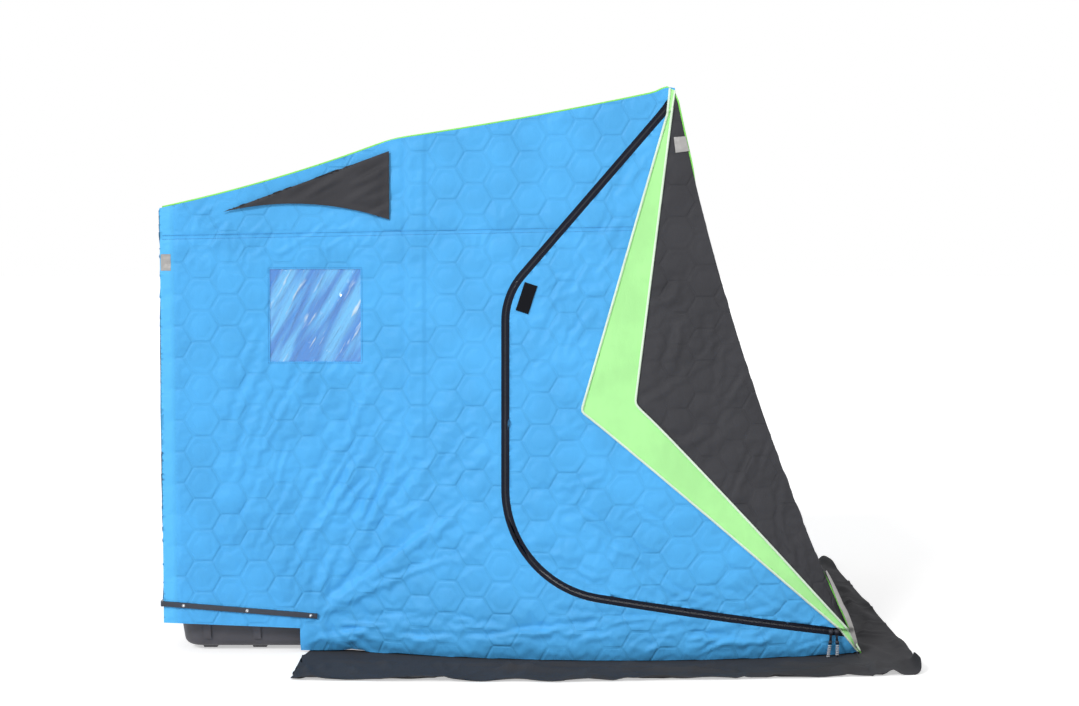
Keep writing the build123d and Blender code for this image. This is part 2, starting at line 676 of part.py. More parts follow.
def half_plan(start_x, side_y, middle_y, front_x, front_y):
    """Plan from the middle line out to a side that bulges from start_x to front_x."""
    with BuildSketch(Plane.XY) as plan:
        with BuildLine():
            ThreePointArc((start_x, -side_y), (MIDDLE_X, -middle_y), (front_x, -front_y))
            Line((front_x, -front_y), (front_x, 0))
            Polyline((front_x, 0), (STEP_X, 0), (STEP_X, -side_y))
            if start_x > STEP_X:
                Line((STEP_X, -side_y), (start_x, -side_y))
        make_face()
    return plan.sketch


with BuildPart() as skirts:
    extrude(half_plan(STEP_X, skirt_rear, skirt_half, skirt_front_x, skirt_corner), amount=SKIRT)
    upright_edges = skirts.edges().filter_by(Axis.Z)
    corner_edge = upright_edges.sort_by_distance((skirt_front_x, -skirt_corner, 0))[0]
    fillet(corner_edge, radius=SKIRT_CORNER_RADIUS)
    under_hem = half_plan(
        CREASE_X, SIDE_HALF - CLOTH, MIDDLE_HALF - CLOTH, FOOT_X - 2 * CLOTH, FOOT_HALF - CLOTH,
    )
    extrude(under_hem, amount=SKIRT, mode=Mode.SUBTRACT)

# The side and front skirts meet on a line straight out from the front wall
with BuildSketch(Plane.XY) as front_gore:
    with Locations((FOOT_X - 2 * CLOTH, 0)):
        Rectangle(FRONT_SKIRT_WIDTH + MARGIN, REACH, align=(Align.MIN, Align.MAX))

with BuildPart() as side_skirt:
    add(skirts.part)
    extrude(front_gore.sketch, amount=SKIRT, mode=Mode.SUBTRACT)
write_both_sides(side_skirt.part, "side_skirt")

with BuildPart() as front_skirt:
    add(skirts.part)
    extrude(front_gore.sketch, amount=SKIRT, mode=Mode.INTERSECT)
    mirror(about=Plane.XZ)
write(front_skirt.part, "front_skirt")
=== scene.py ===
"""Finish of a flip-over ice fishing hut: quilted cloth, zips, window, hood, skirts and sled.

Metres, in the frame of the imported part: +X is the front, +Y the far side, +Z up.
"""
import json
import math

import bmesh
import bpy
import numpy as np
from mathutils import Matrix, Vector
from mathutils.bvhtree import BVHTree
from mathutils.geometry import delaunay_2d_cdt
from mathutils.kdtree import KDTree


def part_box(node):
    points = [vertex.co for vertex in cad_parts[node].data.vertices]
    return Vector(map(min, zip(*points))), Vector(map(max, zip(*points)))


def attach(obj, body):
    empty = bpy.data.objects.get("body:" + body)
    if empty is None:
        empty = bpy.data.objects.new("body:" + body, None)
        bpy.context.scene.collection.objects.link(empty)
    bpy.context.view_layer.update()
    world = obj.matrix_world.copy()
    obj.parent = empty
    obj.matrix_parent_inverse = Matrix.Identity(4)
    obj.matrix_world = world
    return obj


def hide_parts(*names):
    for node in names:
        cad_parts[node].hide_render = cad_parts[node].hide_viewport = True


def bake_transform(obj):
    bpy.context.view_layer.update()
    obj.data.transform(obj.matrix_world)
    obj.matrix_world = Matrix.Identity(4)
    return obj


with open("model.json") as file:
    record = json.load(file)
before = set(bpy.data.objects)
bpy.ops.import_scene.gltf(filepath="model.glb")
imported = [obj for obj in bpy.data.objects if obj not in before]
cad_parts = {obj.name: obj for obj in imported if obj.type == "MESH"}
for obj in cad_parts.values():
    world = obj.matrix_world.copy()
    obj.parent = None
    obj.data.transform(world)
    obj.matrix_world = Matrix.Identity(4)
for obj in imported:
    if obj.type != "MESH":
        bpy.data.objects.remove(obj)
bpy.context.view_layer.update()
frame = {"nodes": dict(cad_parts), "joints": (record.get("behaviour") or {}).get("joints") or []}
nodes = frame["nodes"]
SIDES = ("near", "far")

# Sizes of the cloth work
QUILT = 0.108                   # across the flats of a quilted hexagon
QUILT_START = (-0.210, 1.132)   # middle of one hexagon on the side walls
DOOR_QUILT_START = (0.106, 1.125)
CROSS_QUILT_START = (0.0, 0.75)  # on the back and front walls
STITCHED = 0.0055               # cloth this near to a quilting line is held by it
SETTLE_REACH = 0.010            # the most that settling may move the cloth
SHELL = 0.006                   # thickness of shell, padding and lining
THIN_CLOTH = 0.003
WALL_MESH = 0.0092              # spacing of the points of the side walls and doors
SEWN_EDGE = 0.002               # points this near to a piece's rim lie on it
SEAM_BACK = 1.435               # height of the long seam at the back and at the foot
SEAM_FRONT = 1.480
REAR_BAND = 0.050               # smooth band down the rear corner
FORWARD_PULL = 0.042            # at the door's foot
SILL_SLOPE = 0.13               # fall of the zip along the sill
PIPING = 0.0042                 # radius of the pale piping
GREEN_PIPING = 0.0032
HEM_TUCK = 0.040                # how far the skirts reach in under the hem
ON_ICE = 0.004                  # height of the skirts where they lie flat
STITCH_GAP = 0.0065             # from the long seam to the row on either side of it
STITCH_SPACING = 0.0075
TOOTH_SPACING = 0.0042
SCREW = (0.0038, 0.0024)        # radius and height of a rail screw's head
TAPE = 0.0012                   # thickness of the reflective tape

back_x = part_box("back_wall")[0].x
foot_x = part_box("front_wall")[1].x
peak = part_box("roof_front")[1]
kink_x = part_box("roof_rear")[1].x


# ---- Materials -------------------------------------------------------------------------

def srgb(red, green, blue):
    """Linear colour of an 8-bit one."""
    channels = []
    for value in (red / 255, green / 255, blue / 255):
        channels.append(value / 12.92 if value <= 0.04045 else ((value + 0.055) / 1.055) ** 2.4)
    return (*channels, 1.0)


class ShaderNodes:
    """Short calls for the nodes of one shader tree."""

    def __init__(self, tree):
        self.tree = tree

    def add(self, kind, out=0, props=None, **sockets):
        """A node, its inputs linked or set by name, and the output asked for."""
        made = self.tree.nodes.new("ShaderNode" + kind)
        for name, value in (props or {}).items():
            setattr(made, name, value)
        for name, value in sockets.items():
            key = int(name[1:]) if name[0] == "i" and name[1:].isdigit() else name.replace("_", " ")
            if isinstance(value, bpy.types.NodeSocket):
                self.tree.links.new(value, made.inputs[key])
            else:
                made.inputs[key].default_value = value
        return made.outputs[out]

    def math(self, operation, *values):
        sockets = {f"i{number}": value for number, value in enumerate(values)}
        return self.add("Math", props={"operation": operation}, **sockets)

    def seen_directly(self):
        """1 for rays from the camera, off a gloss or through glass, else 0."""
        path = self.tree.nodes.new("ShaderNodeLightPath").outputs
        seen = self.math("MAXIMUM", path["Is Camera Ray"], path["Is Glossy Ray"])
        return self.math("MAXIMUM", seen, path["Is Transmission Ray"])


class Finish(ShaderNodes):
    """A material with its Principled shader and short calls for the nodes that feed it."""

    def __init__(self, name, **sockets):
        self.material = bpy.data.materials.new(name)
        self.material.use_nodes = True
        super().__init__(self.material.node_tree)
        self.shader = self.tree.nodes["Principled BSDF"]
        for socket, value in sockets.items():
            self.shader.inputs[socket.replace("_", " ")].default_value = value

    def vector(self, operation, *values, out=0):
        sockets = {f"i{number}": value for number, value in enumerate(values)}
        return self.add("VectorMath", out=out, props={"operation": operation}, **sockets)

    def smooth(self, value, low, high):
        """0 at low and 1 at high, eased at both ends."""
        return self.add(
            "MapRange", props={"interpolation_type": "SMOOTHSTEP"},
            Value=value, From_Min=low, From_Max=high,
        )

    def mix(self, factor, first, second):
        return self.add(
            "Mix", out=2, props={"data_type": "RGBA"}, i0=factor, i6=first, i7=second,
        )

    def noise(self, vector, scale, detail=2.0, roughness=0.5):
        return self.add("TexNoise", Vector=vector, Scale=scale, Detail=detail, Roughness=roughness)

    def place(self, vector, scale=(1, 1, 1), turn=(0, 0, 0)):
        return self.add("Mapping", Vector=vector, Scale=scale, Rotation=turn)

    def surface(self):
        """Metres along the cloth, from the piece's own map."""
        return self.add("UVMap", props={"uv_map": "cloth"})

    def body(self):
        return self.add("TexCoord", out=3)

    def bump(self, height, distance, strength=1.0, under=None):
        sockets = {"Height": height, "Distance": distance, "Strength": strength}
        if under is not None:
            sockets["Normal"] = under
        return self.add("Bump", **sockets)

    def link(self, output, socket):
        self.tree.links.new(output, self.shader.inputs[socket])

    def quilt_distance(self, where):
        """Distance to the nearest line of the hexagon quilting."""
        cell = (QUILT * math.sqrt(3), QUILT, 1)
        half = (cell[0] / 2, cell[1] / 2, 0.5)
        minus_half = tuple(-value for value in half)
        flat = []
        for start in (where, self.vector("SUBTRACT", where, half)):
            wrapped = self.vector("WRAP", start, half, minus_half)
            flat.append(self.vector("MULTIPLY", wrapped, (1, 1, 0)))
        nearer = self.math("LESS_THAN", *[self.vector("LENGTH", each, out=1) for each in flat])
        chosen = self.add(
            "Mix", out=1, props={"data_type": "VECTOR"}, i0=nearer, i4=flat[1], i5=flat[0],
        )
        folded = self.vector("ABSOLUTE", chosen)
        slanted = self.vector("DOT_PRODUCT", folded, (math.sqrt(3) / 2, 0.5, 0), out=1)
        upright = self.vector("DOT_PRODUCT", folded, (0, 1, 0), out=1)
        return self.math("SUBTRACT", QUILT / 2, self.math("MAXIMUM", slanted, upright))

    def weave(self, where, pitch):
        """Height of a plain weave."""
        threads = [
            self.add(
                "TexWave", out=1, props={"wave_type": "BANDS", "bands_direction": direction},
                Vector=where, Scale=math.pi / 10 / pitch, Distortion=0.6,
            )
            for direction in "XY"
        ]
        return self.math("MAXIMUM", *threads)


def cloth_finish(
    name, colour, quilted=False, sheen=0.08, roughness=0.55, gloss=0.3, line_shade=0.87,
    pitch=0.0011,
):
    """Coated woven cloth: weave, soft crumples and, where quilted, sewn hexagon lines with painted
    shade along them.
    """
    finish = Finish(
        name, Roughness=roughness, Sheen_Weight=sheen, Sheen_Roughness=0.4,
        Specular_IOR_Level=gloss,
    )
    where = finish.surface()
    cloudy = finish.noise(where, 5.0, 3.0)
    shade = finish.mix(finish.smooth(cloudy, 0.35, 0.65), toned(colour, 0.90), colour)
    crumple = finish.noise(finish.place(where, (1.0, 0.45, 1.0), (0, 0, 0.9)), 38.0, 4.0, 0.6)
    height = finish.math("MULTIPLY", crumple, 0.0030)
    if quilted:
        distance = finish.quilt_distance(where)
        groove = finish.smooth(distance, 0.0, 0.0070)
        patchy = finish.smooth(finish.noise(where, 5.0, 2.0), 0.38, 0.60)
        plain = finish.math(
            "SUBTRACT", 1.0, finish.add("Attribute", out=2, props={"attribute_name": "quilted"}),
        )
        held = finish.math("MAXIMUM", groove, finish.math("MULTIPLY", patchy, 0.70))
        held = finish.math("MAXIMUM", held, plain)
        # painted shade: the colour is darkened along the quilting lines, where shade falls in the
        # grooves, and faded in patches
        shade = finish.mix(held, toned(colour, line_shade), shade)
        shade = finish.mix(plain, shade, toned(colour, 1.12, 0.01))
        height = finish.math("ADD", height, finish.math("MULTIPLY", held, 0.0030))
    finish.link(shade, "Base Color")
    soft = finish.bump(height, 1.0, 0.6)
    fine = finish.bump(finish.weave(where, pitch), 0.00012, 0.35, under=soft)
    finish.link(fine, "Normal")
    return finish.material


def toned(colour, factor, lift=0.0):
    """The colour made lighter or deeper."""
    return tuple(min(1.0, value * factor + lift) for value in colour[:3]) + (1.0,)


BLUE = srgb(84, 183, 249)
GREEN = srgb(185, 255, 166)
BLACK = srgb(66, 66, 70)

blue_quilt = cloth_finish("blue_quilted_shell", BLUE, quilted=True)
blue_lining = cloth_finish("blue_lining", srgb(70, 150, 205), roughness=0.7)
blue_thread = cloth_finish("blue_thread", srgb(44, 108, 178), pitch=0.0005)
green_shell = cloth_finish("green_stripe_cloth", GREEN)
green_cord = cloth_finish("green_cord_cloth", srgb(150, 246, 110), pitch=0.0008)
white_cord = cloth_finish("pale_piping_cloth", srgb(236, 255, 232), pitch=0.0008)
black_quilt = cloth_finish(
    "black_quilted_shell", BLACK, quilted=True, sheen=0.03, roughness=0.65, gloss=0.15,
    line_shade=0.90,
)
black_hood = cloth_finish("black_hood_cloth", BLACK, sheen=0.03, roughness=0.65, gloss=0.15)
black_skirt = cloth_finish(
    "black_skirt_cloth", srgb(68, 68, 71), sheen=0.0, roughness=0.85, gloss=0.08,
)
webbing = cloth_finish(
    "zip_webbing", srgb(38, 41, 52), sheen=0.0, roughness=0.95, gloss=0.03, pitch=0.0016,
)
hook_pile = cloth_finish("hook_pile", srgb(24, 25, 30), sheen=0.1, roughness=0.9, gloss=0.1)


def plastic_finish(name, colour, roughness, grain, depth):
    """Moulded plastic with a fine grain and slightly uneven gloss."""
    finish = Finish(name, Roughness=roughness, Specular_IOR_Level=0.45)
    where = finish.body()
    cloudy = finish.noise(where, 9.0, 3.0)
    uneven = finish.mix(finish.smooth(cloudy, 0.4, 0.75), colour, toned(colour, 1.25))
    finish.link(uneven, "Base Color")
    finish.link(finish.bump(finish.noise(where, grain, 2.0), depth, 0.6), "Normal")
    return finish.material


def metal_finish(name, colour, roughness, metallic):
    """Painted or bare metal with a brushed, slightly smudged gloss."""
    finish = Finish(name, Metallic=metallic, Base_Color=colour)
    where = finish.body()
    smudge = finish.noise(where, 14.0, 4.0)
    rough = finish.add(
        "MapRange", Value=smudge, To_Min=roughness - 0.08, To_Max=roughness + 0.12,
    )
    finish.link(rough, "Roughness")
    finish.link(finish.bump(finish.noise(where, 420.0, 2.0), 0.0001, 0.3), "Normal")
    return finish.material


sled_plastic = plastic_finish("sled_polyethylene", srgb(74, 73, 79), 0.5, 260.0, 0.0006)
pull_plastic = plastic_finish("pull_moulding", srgb(38, 40, 50), 0.55, 500.0, 0.0002)
tooth_plastic = plastic_finish("zip_teeth_moulding", srgb(34, 37, 45), 0.65, 700.0, 0.0001)
grip_rubber = plastic_finish("pull_grip_rubber", srgb(176, 180, 186), 0.55, 500.0, 0.0002)
rail_paint = metal_finish("rail_satin_black", srgb(58, 62, 72), 0.38, 0.35)
bow_paint = metal_finish("bow_satin_black", srgb(48, 48, 52), 0.42, 0.3)
bracket_paint = metal_finish("bracket_satin_black", srgb(44, 44, 48), 0.42, 0.3)
screw_steel = metal_finish("screw_bright_steel", srgb(196, 198, 202), 0.28, 1.0)


def film_finish():
    """Clear flexible film, crinkled along slanting folds. Its colour is painted: a painted view of
    the lit blue lining behind it, and painted white highlights along the creases.
    """
    finish = Finish(
        "clear_film", Roughness=0.12, IOR=1.46, Transmission_Weight=0.04,
        Specular_IOR_Level=0.8, Coat_Weight=1.0, Coat_Roughness=0.05,
    )
    where = finish.surface()
    slanted = finish.place(finish.place(where, turn=(0, 0, -1.05)), (6.0, 38.0, 1.0))
    crinkle = finish.noise(slanted, 1.0, 3.0, 0.55)
    painted_highlight_mask = finish.smooth(crinkle, 0.58, 0.72)
    cloudy = finish.smooth(finish.noise(slanted, 0.45, 2.0), 0.38, 0.62)
    # painted view through the film: the blue of the lit lining behind it is painted into the base
    # colour
    deep = finish.mix(cloudy, srgb(56, 138, 222), srgb(104, 196, 255))
    # painted highlights: white streaks along the creases stand in for reflections of the lights
    finish.link(finish.mix(painted_highlight_mask, deep, srgb(216, 240, 255)), "Base Color")
    finish.link(finish.bump(crinkle, 0.016, 1.0), "Normal")
    return finish.material


def reflective_finish():
    """Grey reflective tape with a fine bead pattern."""
    finish = Finish(
        "reflective_tape", Base_Color=srgb(172, 170, 168), Roughness=0.45, Metallic=0.2,
    )
    where = finish.surface()
    beads = finish.add("TexVoronoi", Vector=where, Scale=900.0)
    finish.link(finish.bump(beads, 0.0002, 0.5), "Normal")
    return finish.material


clear_film = film_finish()
reflective = reflective_finish()


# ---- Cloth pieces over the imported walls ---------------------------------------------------

def in_scene(name, data):
    """A new object in the scene."""
    made = bpy.data.objects.new(name, data)
    bpy.context.scene.collection.objects.link(made)
    return made


def mesh_of(shape, name):
    """The mesh of a finished shape."""
    mesh = bpy.data.meshes.new(name)
    shape.to_mesh(mesh)
    shape.free()
    return mesh


def search_tree(places):
    """Finds the nearest of some places, numbered in their order."""
    tree = KDTree(len(places))
    for number, place in enumerate(places):
        tree.insert(place, number)
    tree.balance()
    return tree


class Cloth:
    """A fine mesh laid over the outside faces of CAD nodes."""

    def __init__(self, points, faces, normals, flat, rim, area):
        self.points = points        # on the outside face
        self.laid = points.copy()   # where they were before folds and padding
        self.faces = faces
        self.normals = normals
        self.flat = flat            # the two coordinates in the plane it was laid out in
        self.rim = rim              # distance to the piece's sewn edges
        self.area = area
        self.quilted = np.ones(len(points))

    def mirrored(self):
        """The same cloth on the other side of the hut."""
        flip = np.array((1, -1, 1))
        faces = [tuple(reversed(face)) for face in self.faces]
        other = Cloth(
            self.points * flip, faces, self.normals * flip, self.flat.copy(), self.rim, self.area,
        )
        other.quilted = self.quilted
        return other

    def push(self, amount):
        """Moves every point out along its normal."""
        self.points = self.points + self.normals * np.asarray(amount)[:, None]


def outside_faces(names, facing):
    """Merged faces of CAD nodes that look one way."""
    shell = bmesh.new()
    for name in names:
        shell.from_mesh(nodes[name].data)
    bmesh.ops.remove_doubles(shell, verts=shell.verts, dist=2e-5)
    turned = [face for face in shell.faces if face.normal.dot(facing) < 0.35]
    bmesh.ops.delete(shell, geom=turned, context="FACES")
    return shell


def turned_out(points, faces, facing):
    """The triangles, all turned to face outwards, and the normals at the points."""
    corner = np.array(faces)
    first, second, third = (points[corner[:, k]] for k in range(3))
    crossed = np.cross(second - first, third - first)
    inward = crossed @ np.array(facing) < 0
    corner[inward] = corner[inward][:, ::-1]
    crossed[inward] *= -1
    normals = np.zeros_like(points)
    for k in range(3):
        np.add.at(normals, corner[:, k], crossed)
    normals /= np.linalg.norm(normals, axis=1)[:, None]
    return [tuple(int(v) for v in face) for face in corner], normals


def evened_heights(heights, faces, missed, free):
    """Heights smoothed over a mesh: missed ones are filled in, then free ones evened out."""
    pairs = {tuple(sorted(pair)) for face in faces for pair in zip(face, face[1:] + face[:1])}
    pairs = np.array(list(pairs))

    def neighbours(missed):
        total, count = np.zeros(len(heights)), np.zeros(len(heights))
        for a, b in ((0, 1), (1, 0)):
            known = ~missed[pairs[:, b]]
            np.add.at(total, pairs[known, a], heights[pairs[known, b]])
            np.add.at(count, pairs[known, a], 1)
        return total, count

    for _ in range(4):
        total, count = neighbours(missed)
        filled = missed & (count > 0)
        heights[filled] = total[filled] / count[filled]
        missed &= ~filled
    for _ in range(60):
        total, count = neighbours(np.zeros(len(heights), bool))
        heights[free] = (total / np.maximum(count, 1))[free]
    return heights


def lay_out(names, facing, spacing):
    """Covers the outside of CAD nodes with an even mesh, edges kept exactly."""
    facing = Vector(facing)
    depth = max(range(3), key=lambda axis: abs(facing[axis]))
    across, up = [axis for axis in range(3) if axis != depth]
    shell = outside_faces(names, facing)
    area = sum(face.calc_area() for face in shell.faces)
    tree = BVHTree.FromBMesh(shell)
    reach = 5.0
    ray = Vector((0, 0, 0))
    ray[depth] = -math.copysign(1.0, facing[depth])

    def hit(u, v):
        start = Vector((0, 0, 0))
        start[across], start[up] = u, v
        start[depth] = -ray[depth] * reach
        found = tree.ray_cast(start, ray)
        if found[0] is None:
            start[across] += 0.0002
            found = tree.ray_cast(start, ray)
        return found

    # Sewn edges, split into short runs; where one node carries on into the next is no edge
    points, index, edges, sewn = [], {}, set(), []

    def point(u, v):
        key = (round(u, 4), round(v, 4))
        if key not in index:
            index[key] = len(points)
            points.append(Vector((u, v)))
        return index[key]

    for edge in shell.edges:
        if len(edge.link_faces) != 1:
            continue
        start, end = (Vector((vert.co[across], vert.co[up])) for vert in edge.verts)
        run = end - start
        if run.length < 1e-6:
            continue
        parts = max(1, round(run.length / spacing))
        side = Vector((-run.y, run.x)).normalized() * 0.002
        for part in range(parts):
            first, last = start.lerp(end, part / parts), start.lerp(end, (part + 1) / parts)
            middle = (first + last) / 2
            if hit(*(middle + side))[0] and hit(*(middle - side))[0]:
                continue
            pair = (point(*first), point(*last))
            if pair[0] != pair[1]:
                edges.add(pair)
            steps = max(1, math.ceil((last - first).length / 0.004))
            sewn.extend(first.lerp(last, step / steps) for step in range(steps + 1))

    near_rim = search_tree([(spot.x, spot.y, 0) for spot in points])
    low = [min(spot[axis] for spot in points) for axis in (0, 1)]
    high = [max(spot[axis] for spot in points) for axis in (0, 1)]
    row_gap = spacing * math.sqrt(3) / 2
    inner = []
    for row in range(int((high[1] - low[1]) / row_gap) + 1):
        v = low[1] + row * row_gap
        for column in range(int((high[0] - low[0]) / spacing) + 1):
            u = low[0] + (column + 0.5 * (row % 2)) * spacing
            if near_rim.find((u, v, 0))[2] > spacing * 0.55 and hit(u, v)[0]:
                inner.append(Vector((u, v)))
    spots, _, triangles, *_ = delaunay_2d_cdt(points + inner, list(edges), [], 0, 1e-5)

    kept = []
    for triangle in triangles:
        middle = sum((spots[corner] for corner in triangle), Vector((0, 0))) / 3
        if hit(*middle)[0]:
            kept.append(tuple(triangle))
    used = sorted({corner for triangle in kept for corner in triangle})
    renumber = {old: new for new, old in enumerate(used)}
    faces = [tuple(renumber[corner] for corner in triangle) for triangle in kept]
    flat = np.array([spots[old] for old in used], float)

    # Lift onto the shell and smooth out its facets
    lifted = np.zeros((len(used), 3))
    lifted[:, across], lifted[:, up] = flat[:, 0], flat[:, 1]
    missed = np.zeros(len(used), bool)
    for number, (u, v) in enumerate(flat):
        found = hit(u, v)[0]
        missed[number] = found is None
        lifted[number, depth] = 0.0 if found is None else found[depth]
    sewn_tree = search_tree([(spot.x, spot.y, 0) for spot in sewn])
    rim = np.array([sewn_tree.find((u, v, 0))[2] for u, v in flat])
    lifted[:, depth] = evened_heights(lifted[:, depth], faces, missed, rim > spacing * 0.3)
    faces, normals = turned_out(lifted, faces, facing)
    shell.free()
    return Cloth(lifted, faces, normals, flat, rim, area)


def quilt_seam_distance(flat, start):
    """Distance of each point from the nearest quilting line."""
    cell = np.array((QUILT * math.sqrt(3), QUILT))
    best = None
    for shift in (0.0, 0.5):
        off = flat - np.array(start) + shift * cell
        off = off - np.round(off / cell) * cell
        best = off if best is None else np.where(
            (np.hypot(*off.T) < np.hypot(*best.T))[:, None], off, best,
        )
    folded = np.abs(best)
    slanted = folded[:, 0] * math.sqrt(3) / 2 + folded[:, 1] / 2
    return QUILT / 2 - np.maximum(slanted, folded[:, 1])


def eased(values, low, high):
    """0 below low, 1 above high, smooth between."""
    t = np.clip((values - low) / (high - low), 0, 1)
    return t * t * (3 - 2 * t)


def fold(flat, start, end, width, height, bend):
    """A fold from start to end, with a valley beside it, that fades out at both ends."""
    start, end = np.array(start, float), np.array(end, float)
    run = end - start
    length = np.hypot(*run)
    along = ((flat - start) @ run) / length ** 2
    off = ((flat - start) @ np.array((-run[1], run[0]))) / length
    inside = np.clip(along, 0, 1)
    off = off - bend * 4 * inside * (1 - inside)
    fade = np.sin(np.pi * inside) ** 0.8 * ((along > 0) & (along < 1))
    t = off / width
    return height * fade * (np.exp(-t * t) - 0.6 * np.exp(-((t - 1.5) ** 2)))


def fan(flat, hub, low, high, count, reach, width, height, rng):
    """Folds that spread from a hub between two angles in degrees."""
    total = np.zeros(len(flat))
    for number in range(count):
        angle = math.radians(low + (high - low) * (number + rng.uniform(0.2, 0.8)) / count)
        length = rng.uniform(*reach)
        begin = rng.uniform(0.0, 0.25) * length
        heading = np.array((math.cos(angle), math.sin(angle)))
        total += fold(
            flat, hub + heading * begin, hub + heading * length,
            width * rng.uniform(0.7, 1.3), height * rng.uniform(0.5, 1.2),
            bend=rng.uniform(-0.02, 0.02),
        )
    return total


def drifts(flat, box, angle, spread, count, reach, width, height, rng):
    """Scattered folds that all lean about the same way."""
    total = np.zeros(len(flat))
    for _ in range(count):
        middle = np.array((rng.uniform(box[0], box[2]), rng.uniform(box[1], box[3])))
        lean = math.radians(angle + rng.uniform(-spread, spread))
        half = rng.uniform(*reach) / 2
        heading = np.array((math.cos(lean), math.sin(lean)))
        total += fold(
            flat, middle - heading * half, middle + heading * half,
            width * rng.uniform(0.6, 1.4), height * rng.uniform(0.4, 1.2),
            bend=rng.uniform(-0.012, 0.012),
        )
    return total


def creases(flat, rng, *groups, lift=0.0):
    """Groups of drifts on top of a lift, each given as drifts takes it."""
    for group in groups:
        lift = lift + drifts(flat, *group, rng)
    return lift


def settle(cloth, start, slack, pressure, frames, seam=None):
    """Lets the padding swell and the spare cloth pucker between the lines that hold it."""
    line = quilt_seam_distance(cloth.flat, start)
    if seam is not None:
        line = np.minimum(line, np.abs(seam))
    mesh = bpy.data.meshes.new("slack_cloth")
    mesh.from_pydata([tuple(point) for point in cloth.points], [], cloth.faces)
    slack_cloth = in_scene("slack_cloth", mesh)
    held = slack_cloth.vertex_groups.new(name="held")
    fixed = np.nonzero((line < STITCHED) | (cloth.rim < STITCHED))[0]
    held.add([int(number) for number in fixed], 1.0, "REPLACE")
    loose = slack_cloth.vertex_groups.new(name="loose")
    levels = np.round(np.clip(slack, 0, 1), 1)
    for level in np.unique(levels):
        if level > 0:
            chosen = [int(number) for number in np.nonzero(levels == level)[0]]
            loose.add(chosen, float(level), "REPLACE")
    cloth_modifier = slack_cloth.modifiers.new("cloth", "CLOTH")
    settings = cloth_modifier.settings
    for name, value in (
        ("quality", 3), ("mass", 0.2), ("tension_stiffness", 12), ("compression_stiffness", 12),
        ("shear_stiffness", 4), ("bending_stiffness", 0.3), ("air_damping", 2),
        ("use_pressure", True), ("uniform_pressure_force", pressure),
        ("vertex_group_mass", "held"), ("vertex_group_shrink", "loose"),
        ("shrink_min", -0.015), ("shrink_max", -0.070),
    ):
        setattr(settings, name, value)
    settings.effector_weights.gravity = 0
    cloth_modifier.collision_settings.use_collision = False
    cloth_modifier.point_cache.frame_end = frames
    scene = bpy.context.scene
    for number in range(1, frames + 1):
        scene.frame_set(number)
        settled = slack_cloth.evaluated_get(bpy.context.evaluated_depsgraph_get())
    places = np.zeros(3 * len(cloth.points))
    settled.data.vertices.foreach_get("co", places)
    move = places.reshape(-1, 3) - cloth.points
    reach = np.linalg.norm(move, axis=1)
    move *= np.minimum(1, SETTLE_REACH / np.maximum(reach, 1e-9))[:, None]
    cloth.points = cloth.points + move
    scene.frame_set(1)
    bpy.data.objects.remove(slack_cloth)
    bpy.data.meshes.remove(mesh)


def sharpen_rim(mesh):
    """Keeps the cut edges of a cloth crisp once it has a thickness."""
    uses = {}
    for face in mesh.polygons:
        for key in face.edge_keys:
            uses[key] = uses.get(key, 0) + 1
    for edge in mesh.edges:
        edge.use_edge_sharp = uses.get(edge.key, 0) == 1


hinges = {joint["child"]: joint for joint in frame["joints"]}


def hang(piece, body):
    """Fixes a piece to its body; a piece meant for a door is only baked in place and is not fixed
    to the door."""
    if body not in hinges:
        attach(piece, body)
        return
    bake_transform(piece)


def add_wall(piece, thickness):
    """Gives a sheet its thickness, inwards."""
    wall = piece.modifiers.new("wall", "SOLIDIFY")
    wall.thickness = thickness
    wall.offset = -1
    return wall


def make_piece(cloth, name, material, body, start=(0.0, 0.0), lining=None, thickness=SHELL):
    """Turns a cloth into an object with its map in metres, its wall and its body."""
    mesh = bpy.data.meshes.new(name)
    mesh.from_pydata([tuple(point) for point in cloth.points], [], cloth.faces)
    mesh.polygons.foreach_set("use_smooth", [True] * len(mesh.polygons))
    layer = mesh.uv_layers.new(name="cloth")
    corners = np.zeros(len(mesh.loops), np.int32)
    mesh.loops.foreach_get("vertex_index", corners)
    layer.data.foreach_set("uv", (cloth.flat - np.array(start))[corners].ravel())
    quilted = mesh.attributes.new("quilted", "FLOAT", "POINT")
    quilted.data.foreach_set("value", cloth.quilted.astype(np.float32))
    sharpen_rim(mesh)
    piece = in_scene(name, mesh)
    mesh.materials.append(material)
    wall = add_wall(piece, thickness)
    if lining is not None:
        mesh.materials.append(lining)
        wall.material_offset = 1
    hang(piece, body)
    return piece


def cut_size(cloth):
    """Width and length of the cloth before it was sewn, a little over the piece's own."""
    size = cloth.flat.max(0) - cloth.flat.min(0)
    return (float(size[0]) * 1.02, float(size[1]) * 1.02)


def long_seam(flat):
    """Height above the long seam under the roof."""
    rise = (SEAM_FRONT - SEAM_BACK) / (foot_x - back_x)
    return flat[:, 1] - SEAM_BACK - rise * (flat[:, 0] - back_x)


NEAR = (0, -1, 0)
cloths = {}
surfaces = {}
wall_nodes = ("side_rear_panel", "side_middle_panel", "side_upper_panel", "side_sill_panel")


def sew_both(key, cloth, name, material, slot, stands_for, sheet=None, body="root", **made):
    """A piece of near cloth and its mirror."""
    cloths[key] = cloth
    surfaces[key] = BVHTree.FromPolygons([tuple(point) for point in cloth.points], cloth.faces)
    for side, panel in (("near", cloth), ("far", cloth.mirrored())):
        piece = make_piece(panel, f"{side}_{name}", material, body.format(side=side), **made)
        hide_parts(*[f"{side}_{node}" for node in stands_for])


def press_flat(cloth, node):
    """Holds a near cloth down where a small piece is sewn on it or hangs over it."""
    low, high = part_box(node)
    over = np.maximum(low.x - cloth.flat[:, 0], cloth.flat[:, 0] - high.x)
    over = np.maximum(over, np.maximum(low.z - cloth.flat[:, 1], cloth.flat[:, 1] - high.z))
    held = 1 - eased(over, 0.004, 0.022)
    proud = np.clip(cloth.laid[:, 1] - cloth.points[:, 1], 0, 1)
    cloth.points[:, 1] += proud * held


